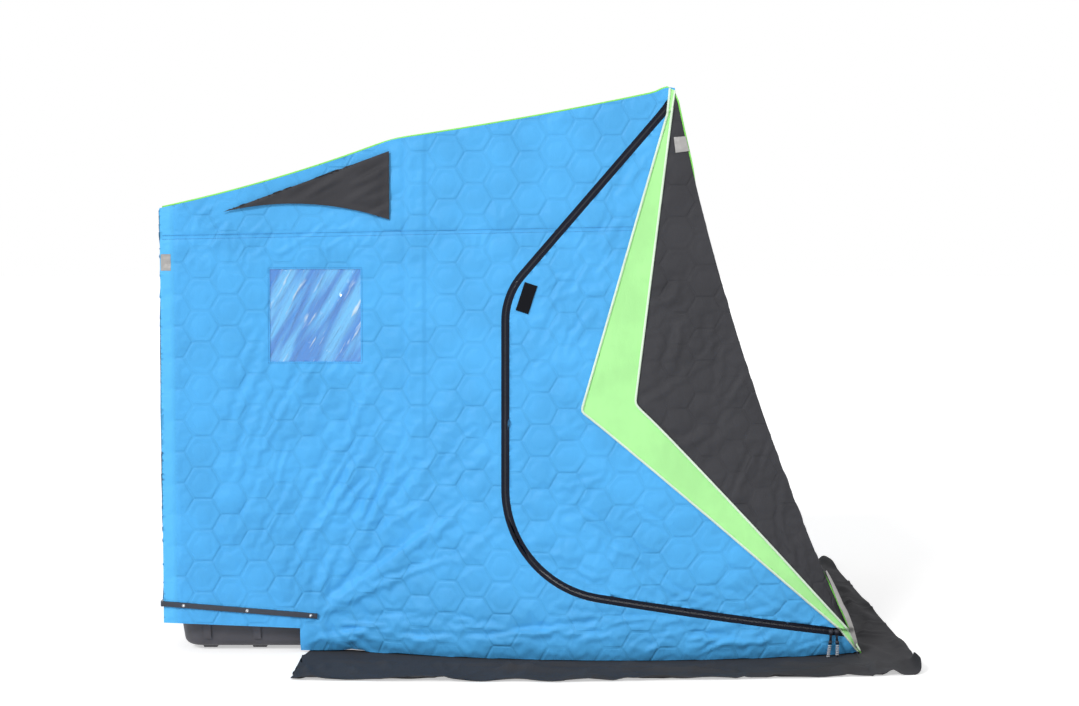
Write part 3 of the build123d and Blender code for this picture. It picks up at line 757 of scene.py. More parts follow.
def corner_of(name):
    """Rearmost corner of a near panel in the side view."""
    spot = min((vert.co for vert in nodes[name].data.vertices), key=lambda co: co.x)
    return (spot.x, spot.z)


stripe_points = [vert.co for vert in nodes["near_door_stripe"].data.vertices]
stripe_foot = min(stripe_points, key=lambda co: co.z)
rear_corner = corner_of("near_door_stripe")
front_corner = corner_of("near_door_front_panel")


front_panel_cloth = lay_out(["near_door_front_panel"], NEAR, 0.010)
edge_steps = np.round(front_panel_cloth.laid[:, 2] / 0.02)
front_edge = np.array([
    (step * 0.02, front_panel_cloth.laid[edge_steps == step, 0].max())
    for step in np.unique(edge_steps)
])
front_edge = np.vstack([(0.0, foot_x - 0.003), front_edge])


def front_edge_x(height):
    """The front edge of the near side in the side view."""
    return np.interp(height, front_edge[:, 0], front_edge[:, 1])


def crown(x):
    """Rise of the cloth over the front bow's corner."""
    return 0.009 * np.exp(-((x - peak.x + 0.030) / 0.026) ** 2)


def drawn_forward(x, z):
    """How far the front edge's pull draws the door's panels forward, below the stripe's corner."""
    down = np.clip((rear_corner[1] - z) / (rear_corner[1] - stripe_foot.z), 0, 1)
    rear = rear_corner[0] + (stripe_foot.x - rear_corner[0]) * down
    front = np.maximum(rear, front_corner[0] + (stripe_foot.x - front_corner[0]) * down)
    edge = np.maximum(front_edge_x(z), front + 0.01)
    behind = eased(x, rear - 0.30, rear)
    ahead = 1 - eased(x, front, edge)
    return FORWARD_PULL * down ** 0.6 * behind * ahead


def draw_forward(cloth):
    """Moves a door cloth along; near the sill it slides down the zip's own slope."""
    move = drawn_forward(cloth.flat[:, 0], cloth.flat[:, 1])
    cloth.points[:, 0] += move
    cloth.points[:, 2] -= SILL_SLOPE * move * (1 - eased(cloth.flat[:, 1], 0.15, 0.50))


def side_walls():
    """Fixed cloth of the sides: rear panel, panels round the doorway and the sill."""
    rng = np.random.default_rng(11)
    cloth = lay_out([f"near_{name}" for name in wall_nodes], NEAR, WALL_MESH)
    flat, rim = cloth.flat, cloth.rim
    seam = long_seam(flat)
    hood_low, hood_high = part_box("near_vent_hood")
    rail_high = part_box("near_clamp_rail")[1]
    rail_end = np.array((rail_high.x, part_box("near_clamp_rail")[0].z + 0.01))

    # Folds that run across the quilting
    crease = kink_x + 0.080
    bow_print = np.exp(-((flat[:, 0] - crease) / 0.031) ** 6)
    lift = 0.0060 * bow_print * eased(flat[:, 1], 0.45, 0.95)
    lift += fan(flat, rail_end, 22, 74, 13, (0.25, 0.90), 0.018, 0.009, rng)
    lift += fan(flat, rail_end, -70, 12, 6, (0.10, 0.28), 0.012, 0.006, rng)
    lift = creases(
        flat, rng,
        ((-1.0, 0.40, -0.55, 1.05), 65, 8, 22, (0.15, 0.50), 0.013, 0.006),
        ((-0.62, 0.25, -0.15, 0.80), 52, 14, 20, (0.10, 0.32), 0.013, 0.005),
        ((-0.80, 0.05, 0.9, 0.15), 4, 10, 44, (0.08, 0.32), 0.011, 0.006),
        ((-1.12, 1.38, -0.52, 1.55), 38, 18, 24, (0.05, 0.18), 0.010, 0.004),
        ((-1.2, 1.37, 0.2, 1.50), 88, 30, 44, (0.03, 0.09), 0.008, 0.0025),
        ((0.1, 0.03, 1.05, 0.13), 25, 14, 22, (0.06, 0.2), 0.012, 0.005),
        lift=lift,
    )
    lift *= 0.3 + 0.7 * eased(rim, 0.0, 0.05)
    lift -= 0.0030 * np.exp(-(seam / 0.006) ** 2)
    lift -= 0.020 * np.clip((0.070 - flat[:, 1]) / 0.062, 0, 1) ** 2
    lift -= 0.0025 * np.exp(-((flat[:, 0] - back_x - REAR_BAND) / 0.005) ** 2)
    cloth.push(np.clip(lift, -0.020, 0.012))
    cloth.quilted = eased(flat[:, 0], back_x + REAR_BAND - 0.006, back_x + REAR_BAND)

    # Slack for the padding: most at the foot, least up on the smooth rear band
    slack = 0.15 + 0.55 * (1 - eased(flat[:, 1], 0.25, 0.95))
    slack += 0.35 * np.exp(-((flat[:, 0] - crease) / 0.10) ** 2) * (1 - eased(flat[:, 1], 0.6, 1.2))
    slack *= eased(flat[:, 0], back_x + REAR_BAND, back_x + REAR_BAND + 0.12)
    settle(cloth, QUILT_START, slack, 3.2, 14, seam)

    press_flat(cloth, "near_zip_pulls")

    # Nothing pushes up under the hood
    under_hood = (
        eased(flat[:, 0], hood_low.x - 0.03, hood_low.x) *
        (1 - eased(flat[:, 0], hood_high.x - 0.01, hood_high.x + 0.02)) *
        eased(flat[:, 1], hood_low.z - 0.03, hood_low.z)
    )
    depth = cloth.points[:, 1] - cloth.laid[:, 1]
    cloth.points[:, 1] += np.clip(-depth, 0, 1) * under_hood
    roofline = np.maximum(peak.z - (peak.x - flat[:, 0]) * 0.21, 0)
    cloth.points[:, 2] += crown(flat[:, 0]) * eased(flat[:, 1], roofline - 0.09, roofline)
    sheet = {"flat": cut_size(cloth), "area": cloth.area, "held": "stretched",
             "rests_on": ["rear_bow", "middle_bow", "{side}_clamp_rail"]}
    sew_both("side_wall", cloth, "side_wall_cloth", blue_quilt, "blue_cloth", wall_nodes, sheet,
             start=QUILT_START, lining=blue_lining)


def door_panels():
    """The blue quilted panels of the door flaps."""
    rng = np.random.default_rng(12)
    cloth = lay_out(["near_door_panel"], NEAR, WALL_MESH)
    flat, rim = cloth.flat, cloth.rim
    seam = long_seam(flat)
    lift = creases(
        flat, rng,
        ((0.0, 0.35, 0.35, 1.35), 30, 40, 26, (0.06, 0.2), 0.012, 0.004),
        ((0.05, 1.15, 0.42, 1.75), 52, 12, 24, (0.08, 0.25), 0.011, 0.0045),
        ((0.1, 0.12, 1.0, 0.50), -28, 12, 28, (0.08, 0.25), 0.012, 0.0045),
        ((0.45, 0.06, 1.05, 0.2), 32, 14, 18, (0.06, 0.16), 0.011, 0.004),
    )
    lift *= 0.25 + 0.75 * eased(rim, 0.0, 0.04)
    lift -= 0.0025 * np.exp(-(seam / 0.006) ** 2)
    cloth.push(np.clip(lift, -0.008, 0.010))
    slack = 0.25 + 0.5 * (1 - eased(flat[:, 1], 0.25, 0.7))
    settle(cloth, DOOR_QUILT_START, slack, 3.2, 14, seam)
    press_flat(cloth, "near_hook_patch")
    draw_forward(cloth)
    sheet = {"flat": cut_size(cloth), "area": cloth.area, "held": "stretched",
             "rests_on": ["{side}_door_stripe_cloth"]}
    sew_both("door", cloth, "door_cloth", blue_quilt, "blue_cloth", ["door_panel"], sheet,
             "{side}_door", start=DOOR_QUILT_START, lining=blue_lining)


def door_stripes():
    """The green stripes down the door flaps."""
    rng = np.random.default_rng(13)
    cloth = lay_out(["near_door_stripe"], NEAR, 0.010)
    flat, rim = cloth.flat, cloth.rim
    lift = creases(
        flat, rng,
        ((0.15, 0.2, 0.6, 1.6), 75, 12, 14, (0.15, 0.5), 0.018, 0.0022),
        ((0.15, 0.1, 1.0, 0.85), -42, 6, 10, (0.15, 0.4), 0.016, 0.0022),
    )
    cloth.push(lift * eased(rim, 0.0, 0.03) + 0.0006)
    draw_forward(cloth)
    width = 0.110
    sheet = {"flat": (width, cloth.area / width), "held": "stretched",
             "rests_on": ["{side}_door_cloth"]}
    sew_both("stripe", cloth, "door_stripe_cloth", green_shell, "green_cloth", ["door_stripe"],
             sheet, "{side}_door", lining=blue_lining)


def front_panels():
    """The black panels between the stripes and the hut's front edge."""
    rng = np.random.default_rng(14)
    cloth = front_panel_cloth
    flat, rim = cloth.flat, cloth.rim
    lift = drifts(flat, (0.4, 0.2, 0.95, 1.3), 60, 40, 34, (0.1, 0.3), 0.014, 0.006, rng)
    cloth.push(np.clip(lift, -0.008, 0.010) * eased(rim, 0.0, 0.03))
    settle(cloth, DOOR_QUILT_START, np.full(len(flat), 0.2), 3.0, 12)
    draw_forward(cloth)
    size = cut_size(cloth)
    width = size[0] * min(1.0, cloth.area / (size[0] * size[1]) / 0.45)
    sheet = {"flat": (width, size[1]), "area": cloth.area, "held": "stretched",
             "rests_on": ["{side}_door_stripe_cloth"]}
    sew_both("front_panel", cloth, "door_front_cloth", black_quilt, "black_cloth",
             ["door_front_panel"], sheet, "{side}_door", start=DOOR_QUILT_START,
             lining=blue_lining)


def vent_hoods():
    """The vent hoods, caught along their roof edge, slack below."""
    rng = np.random.default_rng(15)
    cloth = lay_out(["near_vent_hood"], NEAR, 0.008)
    flat, rim = cloth.flat, cloth.rim
    low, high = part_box("near_vent_hood")
    along = (flat[:, 0] - low.x) / (high.x - low.x)
    lift = drifts(flat, (low.x, low.z, high.x, high.z), 24, 8, 26, (0.12, 0.4), 0.012, 0.008, rng)
    lift += 0.006 * np.sin(along * 9.0) * eased(rim, 0.0, 0.05)
    lift *= 0.25 + 0.75 * eased(rim, 0.0, 0.04)
    lift += 0.0015 * np.exp(-((rim - 0.008) / 0.003) ** 2)
    cloth.push(np.clip(lift, -0.003, 0.012) + 0.001)
    size = cut_size(cloth)
    sheet = {"flat": size, "area": max(cloth.area, 0.31 * size[0] * size[1]), "held": "hung",
             "rests_on": ["{side}_side_wall_cloth"]}
    sew_both("hood", cloth, "vent_hood_cloth", black_hood, "black_cloth", ["vent_hood"], sheet,
             thickness=THIN_CLOTH)


def window_films():
    """Clear film sewn into the rear panels, crinkled on the slant."""
    rng = np.random.default_rng(16)
    cloth = lay_out(["near_window"], NEAR, 0.005)
    low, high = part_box("near_window")
    box = (low.x, low.z, high.x, high.z)
    lift = creases(
        cloth.flat, rng,
        (box, 62, 7, 30, (0.12, 0.34), 0.0065, 0.0030),
        (box, 75, 50, 34, (0.02, 0.07), 0.005, 0.0018),
    )
    cloth.push(lift * eased(cloth.rim, 0.0, 0.02))
    sheet = {"flat": cut_size(cloth), "held": "stretched",
             "rests_on": ["{side}_side_wall_cloth"]}
    sew_both("window", cloth, "window_film", clear_film, "clear_window", ["window"], sheet,
             thickness=0.0008)


def zip_tapes():
    """Flat webbing on both sides of the zip, one strip on the wall and one on the door."""
    for part in ("wall", "door"):
        cloth = lay_out([f"near_zip_tape_{part}"], NEAR, 0.006)
        cloth.push(np.full(len(cloth.points), 0.0010))
        sew_both(f"zip_{part}", cloth, f"zip_webbing_{part}", webbing, "zip_webbing",
                 [f"zip_tape_{part}"], body="root" if part == "wall" else "{side}_door",
                 thickness=0.0035)


def ripple(values, rng, count, low, high):
    """Uneven wave along an edge, about -1 to 1."""
    total = np.zeros(len(values))
    for _ in range(count):
        total += np.sin(values * rng.uniform(low, high) + rng.uniform(0, 6.3))
    return total / count


def side_skirts():
    """Skirts of the sides, lying on the ice with a wavy outer edge and a frayed rear end."""
    rng = np.random.default_rng(17)
    cloth = lay_out(["near_side_skirt"], (0, 0, 1), 0.014)
    flat = cloth.flat
    low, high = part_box("near_side_skirt")
    box = (low.x, low.y, high.x, -0.95)
    lift = creases(
        flat, rng,
        (box, 2, 12, 26, (0.2, 0.6), 0.024, 0.010),
        (box, 80, 24, 34, (0.1, 0.25), 0.020, 0.007),
    )
    outer = 1 - eased(flat[:, 1], low.y + 0.02, low.y + 0.12)
    lift += 0.006 * outer * (1 + ripple(flat[:, 0], rng, 5, 9, 30))
    cloth.points[:, 2] = ON_ICE + np.clip(lift, 0, 0.024)
    cloth.points[:, 1] += outer * 0.008 * (1 + ripple(flat[:, 0], rng, 6, 7, 26))
    rear = 1 - eased(flat[:, 0], low.x, low.x + 0.06)
    cloth.points[:, 0] += rear * 0.018 * (1 + ripple(flat[:, 1], rng, 5, 18, 70))
    hem = cloths["side_wall"].laid
    hem = hem[hem[:, 2] < 0.02]
    hem = hem[np.argsort(hem[:, 0])]
    from_hem = np.interp(flat[:, 0], hem[:, 0], hem[:, 1]) - flat[:, 1]
    under = 1 - eased(from_hem, 0.0, 0.02)
    cloth.points[:, 1] += under * HEM_TUCK
    cloth.points[:, 2] -= under * (cloth.points[:, 2] - ON_ICE)
    sheet = {"flat": cut_size(cloth), "area": cloth.area, "held": "laid",
             "rests_on": ["{side}_side_wall_cloth"]}
    sew_both("side_skirt", cloth, "side_skirt_cloth", black_skirt, "black_cloth",
             ["side_skirt"], sheet, thickness=THIN_CLOTH)


def front_skirt():
    """Skirt along the front foot; its corners curl up off the ice."""
    rng = np.random.default_rng(18)
    cloth = lay_out(["front_skirt"], (0, 0, 1), 0.013)
    flat = cloth.flat
    low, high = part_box("front_skirt")
    box = (low.x, low.y, high.x, high.y)
    lift = creases(
        flat, rng,
        (box, 88, 14, 40, (0.15, 0.5), 0.022, 0.008),
        (box, 8, 24, 30, (0.08, 0.18), 0.018, 0.005),
    )
    height = ON_ICE + np.clip(lift, 0, 0.02)
    start, radius, curl_angle = high.x - 0.052, 0.024, 1.45
    turned = np.clip((flat[:, 0] - start) / radius, 0, curl_angle)
    upright = np.maximum(flat[:, 0] - start - curl_angle * radius, 0)
    curled_x = np.minimum(flat[:, 0], start) + radius * np.sin(turned) + upright * 0.12
    curled_z = radius * (1 - np.cos(turned)) + upright
    for side, curl in ((-1, 1.0), (1, 0.25)):
        outward = side * flat[:, 1]
        share = curl * eased(outward, 0.88, 1.02)
        height += share * curled_z
        cloth.points[:, 0] += share * (curled_x - flat[:, 0])
        ridge = np.exp(-((flat[:, 0] - high.x + 0.125) / 0.024) ** 2)
        height += 0.020 * curl * ridge * eased(outward, 1.06, 1.18)
    under = 1 - eased(flat[:, 0], foot_x, foot_x + 0.02)
    under = under * (1 - eased(np.abs(flat[:, 1]), 0.80, 0.84))
    cloth.points[:, 0] -= under * HEM_TUCK
    cloth.points[:, 2] = height - under * (height - ON_ICE)
    piece = make_piece(cloth, "front_skirt_cloth", black_skirt, "root", thickness=THIN_CLOTH)
    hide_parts("front_skirt")


def cross_cloth(names, label, facing, material, start, box, seed):
    """Roof, back or front wall, quilted and sewn between the two side walls."""
    rng = np.random.default_rng(seed)
    cloth = lay_out(names, facing, 0.0125)
    flat, rim = cloth.flat, cloth.rim
    lift = drifts(flat, box, 80, 60, 50, (0.12, 0.4), 0.016, 0.0045, rng)
    cloth.push(np.clip(lift * (0.2 + 0.8 * eased(rim, 0.0, 0.04)), -0.006, 0.006))
    settle(cloth, start, np.full(len(flat), 0.2), 1.8, 12)
    if facing == (0, 0, 1):
        cloth.points[:, 2] += crown(flat[:, 0]) * eased(np.abs(flat[:, 1]), 0.66, 0.78)
    piece = make_piece(cloth, label, material, "root", start, blue_lining)
    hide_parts(*names)


side_walls()
door_panels()
door_stripes()
front_panels()
vent_hoods()
window_films()
zip_tapes()
side_skirts()
front_skirt()
cross_cloth(["roof_rear", "roof_front"], "roof_cloth", (0, 0, 1), blue_quilt,
            (0.0, 0.0), (back_x, -0.8, peak.x, 0.8), 19)
cross_cloth(["back_wall"], "back_wall_cloth", (-1, 0, 0), blue_quilt,
            CROSS_QUILT_START, (-0.8, 0.1, 0.8, 1.5), 20)
cross_cloth(["front_wall"], "front_wall_cloth", (1, 0, 0), black_quilt,
            CROSS_QUILT_START, (-0.8, 0.1, 0.8, 1.9), 21)


# ---- Trim that follows the cloth --------------------------------------------------------------

def surface_y(trees, x, z):
    """Outermost point of the near side's finished cloth at one place in the side view."""
    found = [tree.ray_cast(Vector((x, -5, z)), Vector((0, 1, 0))) for tree in trees]
    found = [(spot, normal) for spot, normal, *_ in found if spot is not None]
    return min(found, key=lambda pair: pair[0].y) if found else (None, None)


def trace(line, tree, step):
    """A line in the side view laid on the cloth, as points and outward directions."""
    points, outward = [], []
    for (x0, z0), (x1, z1) in zip(line, line[1:]):
        parts = max(1, round(math.hypot(x1 - x0, z1 - z0) / step))
        for part in range(parts + (line[-1] == (x1, z1))):
            share = part / parts
            spot, normal = surface_y([tree], x0 + (x1 - x0) * share, z0 + (z1 - z0) * share)
            if spot is None:
                continue
            points.append(spot)
            outward.append(normal if normal.y < 0 else -normal)
    return points, outward


def eased_line(points, rounds):
    """Evens out a traced line; its ends stay."""
    places = np.array([tuple(point) for point in points])
    for _ in range(rounds):
        places[1:-1] = (places[:-2] + 2 * places[1:-1] + places[2:]) / 4
    return [Vector(place) for place in places]


def on_side(side, points):
    """Points or directions of the near side, or their mirror."""
    flip = 1 if side == "near" else -1
    return [Vector((point.x, flip * point.y, point.z)) for point in points]


def bridge(shape, rings):
    """Faces from each ring of corners to the next."""
    for first, second in zip(rings, rings[1:]):
        for k in range(len(first)):
            following = (k + 1) % len(first)
            shape.faces.new((first[k], first[following], second[following], second[k]))


def cord_trim(name, paths, radius, material, body):
    """Round piping along one or more paths, closed at its ends."""
    sides = 8
    shape = bmesh.new()
    for path in paths:
        rings = []
        for number, point in enumerate(path):
            before, after = path[max(0, number - 1)], path[min(len(path) - 1, number + 1)]
            along = (after - before).normalized()
            across = along.cross(Vector((0.35, 1.0, 0.2))).normalized()
            upward = along.cross(across)
            rings.append([
                shape.verts.new(point + radius * (
                    across * math.cos(2 * math.pi * k / sides) +
                    upward * math.sin(2 * math.pi * k / sides)
                ))
                for k in range(sides)
            ])
        bridge(shape, rings)
        shape.faces.new(list(reversed(rings[0])))
        shape.faces.new(rings[-1])
    bmesh.ops.recalc_face_normals(shape, faces=shape.faces)
    return placed(mesh_of(shape, name), name, material, body)


def placed(mesh, name, material, body):
    """Object from a mesh, smooth, mapped in metres by its own length and height."""
    mesh.polygons.foreach_set("use_smooth", [True] * len(mesh.polygons))
    layer = mesh.uv_layers.get("cloth") or mesh.uv_layers.new(name="cloth")
    for loop in mesh.loops:
        spot = mesh.vertices[loop.vertex_index].co
        layer.data[loop.index].uv = (spot.x + spot.y, spot.z)
    mesh.materials.clear()
    mesh.materials.append(material)
    piece = in_scene(name, mesh)
    hang(piece, body)
    return piece


def bar_item(length, width, height, bevel):
    """Small bar with broken edges, its foot at the origin."""
    shape = bmesh.new()
    bmesh.ops.create_cube(shape, size=1.0)
    for vert in shape.verts:
        vert.co = Vector((vert.co.x * length, vert.co.y * width, (vert.co.z + 0.5) * height))
    bmesh.ops.bevel(shape, geom=shape.edges[:], offset=bevel, segments=1, affect="EDGES")
    return mesh_of(shape, "bar_item")


def screw_item(radius, height):
    """Domed screw head with a washer and a round recess."""
    outline = (
        (1.5, 0.0), (1.5, 0.18), (1.05, 0.22), (1.0, 0.55), (0.75, 0.88), (0.42, 1.0),
        (0.34, 0.55), (0.0, 0.5),
    )
    turns = 16
    shape = bmesh.new()
    rings = []
    for share, rise in outline[:-1]:
        rings.append([
            shape.verts.new((
                radius * share * math.cos(2 * math.pi * k / turns),
                radius * share * math.sin(2 * math.pi * k / turns), height * rise,
            ))
            for k in range(turns)
        ])
    bottom = shape.verts.new((0, 0, height * outline[-1][1]))
    bridge(shape, rings)
    for k in range(turns):
        shape.faces.new((rings[-1][k], rings[-1][(k + 1) % turns], bottom))
    shape.faces.new(list(reversed(rings[0])))
    return mesh_of(shape, "screw_item")


def repeat_tree(name):
    """Geometry Nodes: copies of an item at even spacing along paths, standing on the surface."""
    tree = bpy.data.node_groups.new(name, "GeometryNodeTree")
    for label, kind in (
        ("Geometry", "NodeSocketGeometry"), ("Spacing", "NodeSocketFloat"),
        ("Item", "NodeSocketObject"), ("Material", "NodeSocketMaterial"),
    ):
        tree.interface.new_socket(label, in_out="INPUT", socket_type=kind)
    tree.interface.new_socket("Geometry", in_out="OUTPUT", socket_type="NodeSocketGeometry")

    def add(kind, **props):
        made = tree.nodes.new(kind)
        for key, value in props.items():
            setattr(made, key, value)
        return made

    source = add("NodeGroupInput")
    result = add("NodeGroupOutput")
    curve = add("GeometryNodeMeshToCurve")
    even = add("GeometryNodeResampleCurve", mode="LENGTH")
    item = add("GeometryNodeObjectInfo")
    tangent = add("GeometryNodeInputTangent")
    outward = add("GeometryNodeInputNamedAttribute", data_type="FLOAT_VECTOR")
    outward.inputs["Name"].default_value = "outward"
    along = add("FunctionNodeAlignRotationToVector", axis="X")
    standing = add("FunctionNodeAlignRotationToVector", axis="Z", pivot_axis="X")
    copies = add("GeometryNodeInstanceOnPoints")
    real = add("GeometryNodeRealizeInstances")
    finish = add("GeometryNodeSetMaterial")
    for start, end in (
        (source.outputs["Geometry"], curve.inputs[0]),
        (curve.outputs[0], even.inputs["Curve"]),
        (source.outputs["Spacing"], even.inputs["Length"]),
        (source.outputs["Item"], item.inputs["Object"]),
        (tangent.outputs[0], along.inputs["Vector"]),
        (along.outputs[0], standing.inputs["Rotation"]),
        (outward.outputs[0], standing.inputs["Vector"]),
        (even.outputs[0], copies.inputs["Points"]),
        (item.outputs["Geometry"], copies.inputs["Instance"]),
        (standing.outputs[0], copies.inputs["Rotation"]),
        (copies.outputs[0], real.inputs[0]),
        (real.outputs[0], finish.inputs["Geometry"]),
        (source.outputs["Material"], finish.inputs["Material"]),
        (finish.outputs[0], result.inputs[0]),
    ):
        tree.links.new(start, end)
    return tree


repeats = repeat_tree("repeat_along_path")


def repeat_along(name, paths, item_mesh, spacing, material, body):
    """Bakes copies of an item along paths of (points, outward directions) into one piece."""
    points, edges, outward = [], [], []
    for line, out in paths:
        edges.extend((len(points) + k, len(points) + k + 1) for k in range(len(line) - 1))
        points.extend(line)
        outward.extend(out)
    mesh = bpy.data.meshes.new(name)
    mesh.from_pydata([tuple(point) for point in points], edges, [])
    attribute = mesh.attributes.new("outward", "FLOAT_VECTOR", "POINT")
    attribute.data.foreach_set("vector", [value for out in outward for value in out])
    holder = in_scene(name + "_path", mesh)
    item = bpy.data.objects.new("item", item_mesh)
    modifier = holder.modifiers.new("repeat", "NODES")
    modifier.node_group = repeats
    values = {"Spacing": spacing, "Item": item, "Material": material}
    for socket in repeats.interface.items_tree:
        if socket.in_out == "INPUT" and socket.name in values:
            modifier[socket.identifier] = values[socket.name]
    graph = bpy.context.evaluated_depsgraph_get()
    baked = bpy.data.meshes.new_from_object(holder.evaluated_get(graph), depsgraph=graph)
    bpy.data.objects.remove(holder)
    bpy.data.objects.remove(item)
    return placed(baked, name, material, body)


def shared_edge(first, second):
    """Points of one near cloth where it is sewn to another, from the top down."""
    rim = np.nonzero(second.rim < SEWN_EDGE)[0]
    tree = search_tree([(*second.flat[number], 0) for number in rim])
    sewn = [number for number in np.nonzero(first.rim < SEWN_EDGE)[0]
            if tree.find((*first.flat[number], 0))[2] < 0.004]
    sewn.sort(key=lambda number: -first.flat[number][1])
    return [Vector(first.points[number]) for number in sewn]


rear_line = shared_edge(cloths["stripe"], cloths["door"])
front_line = shared_edge(cloths["stripe"], cloths["front_panel"])


def stripe_piping():
    """Pale piping down both edges of the green stripe."""
    lines = []
    for line in (rear_line, front_line):
        lines.append([point - Vector((0, 0.0030, 0)) for point in eased_line(line, 2)])
    for side in SIDES:
        paths = [on_side(side, line) for line in lines]
        cord_trim(f"{side}_stripe_piping", paths, PIPING, white_cord, f"{side}_door")


def edge_points(cloth, pick, size):
    """Rim points of a cloth that are outermost in each step along one direction."""
    best = {}
    for number in np.nonzero(cloth.rim < SEWN_EDGE)[0]:
        key, value = pick(cloth.laid[number])
        key = round(key / size)
        if key not in best or value > best[key][0]:
            best[key] = (value, number)
    return [Vector(cloth.laid[best[key][1]]) for key in sorted(best)]


def hut_piping():
    """Green piping along the roof's edges and down the front edges."""
    roof = edge_points(cloths["side_wall"], lambda spot: (spot[0], spot[2]), 0.02)
    roof = [point for point in roof if point.z > SEAM_BACK and point.x < peak.x - 0.004]
    roof = eased_line(roof, 6)
    for point in roof:
        point.z += 0.002 + float(crown(point.x))
        point.y += 0.003
    front = edge_points(cloths["front_panel"], lambda spot: (spot[2], spot[0]), 0.02)
    top = Vector((peak.x - 0.004, roof[-1].y, peak.z - 0.006))
    front = eased_line([Vector((foot_x - 0.002, front[0].y, 0.012))] + front, 6) + [top]
    for point in front[:-1]:
        height = np.array(point.z)
        tucked = float(eased(height, 0.22, 0.36) * (1 - eased(height, 1.55, 1.70)))
        point.x += 0.0035 - 0.010 * tucked
        point.y += 0.0045 + 0.012 * tucked
    for side in SIDES:
        for label, path in (("roof_piping", roof + [top]), ("front_piping", front)):
            piece = cord_trim(f"{side}_{label}_cord", [on_side(side, path)], GREEN_PIPING,
                              green_cord, "root")
            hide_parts(f"{side}_{label}")


def zip_teeth():
    """Two rows of moulded teeth between the tapes, one row on each body."""
    faces = {}
    for part in ("wall", "door"):
        shell = outside_faces([f"near_zip_tape_{part}"], Vector(NEAR))
        faces[part] = [vert.co.copy() for vert in shell.verts]
        shell.free()
    for part, other, body in (("wall", "door", "root"), ("door", "wall", "{side}_door")):
        tree = search_tree(faces[other])
        left = [spot for spot in faces[part] if tree.find(spot)[2] < 0.010]
        chain = [left.pop(max(range(len(left)), key=lambda k: left[k].z))]
        while left:
            nearest = min(range(len(left)), key=lambda k: (left[k] - chain[-1]).length)
            chain.append(left.pop(nearest))
        line = []
        for spot in chain:
            across = tree.find(spot)[0] - spot
            line.append(spot + across.normalized() * 0.0018 + Vector((0, 0.0015, 0)))
        outward = [Vector(NEAR)] * len(line)
        for side in SIDES:
            repeat_along(
                f"{side}_zip_teeth_{part}", [(on_side(side, line), on_side(side, outward))],
                bar_item(0.0036, 0.0040, 0.0024, 0.0006), TOOTH_SPACING, tooth_plastic,
                body.format(side=side),
            )


def seam_stitches():
    """Rows of stitches along the long seam and round the window."""
    low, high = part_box("near_window")
    wall_tree, door_tree = surfaces["side_wall"], surfaces["door"]
    step, margin = 0.006, 0.005
    on_wall, on_door = [], []
    for shift in (-STITCH_GAP, STITCH_GAP):
        row = [(back_x + 0.012, SEAM_BACK + shift), (foot_x, SEAM_FRONT + shift)]
        on_wall.append(trace(row, wall_tree, step))
        on_door.append(trace(row, door_tree, step))
    left, right = low.x - margin, high.x + margin
    bottom, top = low.z - margin, high.z + margin
    round_window = [(left, bottom), (right, bottom), (right, top), (left, top),
                    (left, low.z - 0.004)]
    on_wall.append(trace(round_window, wall_tree, step))
    stitch = bar_item(0.0052, 0.0010, 0.0010, 0.0003)
    for side in SIDES:
        for label, body, rows in (
            ("wall", "root", on_wall), ("door", f"{side}_door", on_door),
        ):
            paths = [(on_side(side, line), on_side(side, outward)) for line, outward in rows]
            repeat_along(f"{side}_{label}_stitches", paths, stitch, STITCH_SPACING,
                         blue_thread, body)


def rail_screws():
    """Screws through the clamp rails into the sled's rim."""
    low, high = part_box("near_clamp_rail")
    tall = 0.018
    start = Vector((low.x + 0.07, low.y, high.z - tall / 2 - 0.006))
    end = Vector((high.x - 0.022, low.y, low.z + tall / 2 + 0.002))
    line = [start.lerp(end, k / 8) for k in range(9)]
    outward = [Vector(NEAR)] * len(line)
    for side in SIDES:
        repeat_along(f"{side}_rail_screws", [(on_side(side, line), on_side(side, outward))],
                     screw_item(*SCREW), (end - start).length / 2, screw_steel, "root")
    low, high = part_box("back_clamp_rail")
    middle_z = (low.z + high.z) / 2
    inset = 0.06
    span = high.y - low.y - 2 * inset
    line = [Vector((low.x, low.y + inset + span * k / 20, middle_z)) for k in range(21)]
    repeat_along("back_rail_screws", [(line, [Vector((-1, 0, 0))] * len(line))],
                 screw_item(*SCREW), span / 6, screw_steel, "root")


def laid_on_near_side(places):
    """Points on the near side's outermost cloth; one past its edge takes its neighbour's depth."""
    hits = [(x, z, surface_y(surfaces.values(), x, z)[0]) for x, z in places]
    hits = [Vector((x, spot.y, z)) for x, z, spot in hits if spot is not None]
    tree = search_tree([(spot.x, 0.0, spot.z) for spot in hits])
    return [Vector((x, hits[tree.find((x, 0.0, z))[1]].y, z)) for x, z in places]


def add_sheet_faces(shape, rows, flip):
    """Faces between rows of corners, turned over where flip is -1."""
    for first, second in zip(rows, rows[1:]):
        for k in range(len(first) - 1):
            corner = (first[k], first[k + 1], second[k + 1], second[k])
            shape.faces.new(corner[::flip])


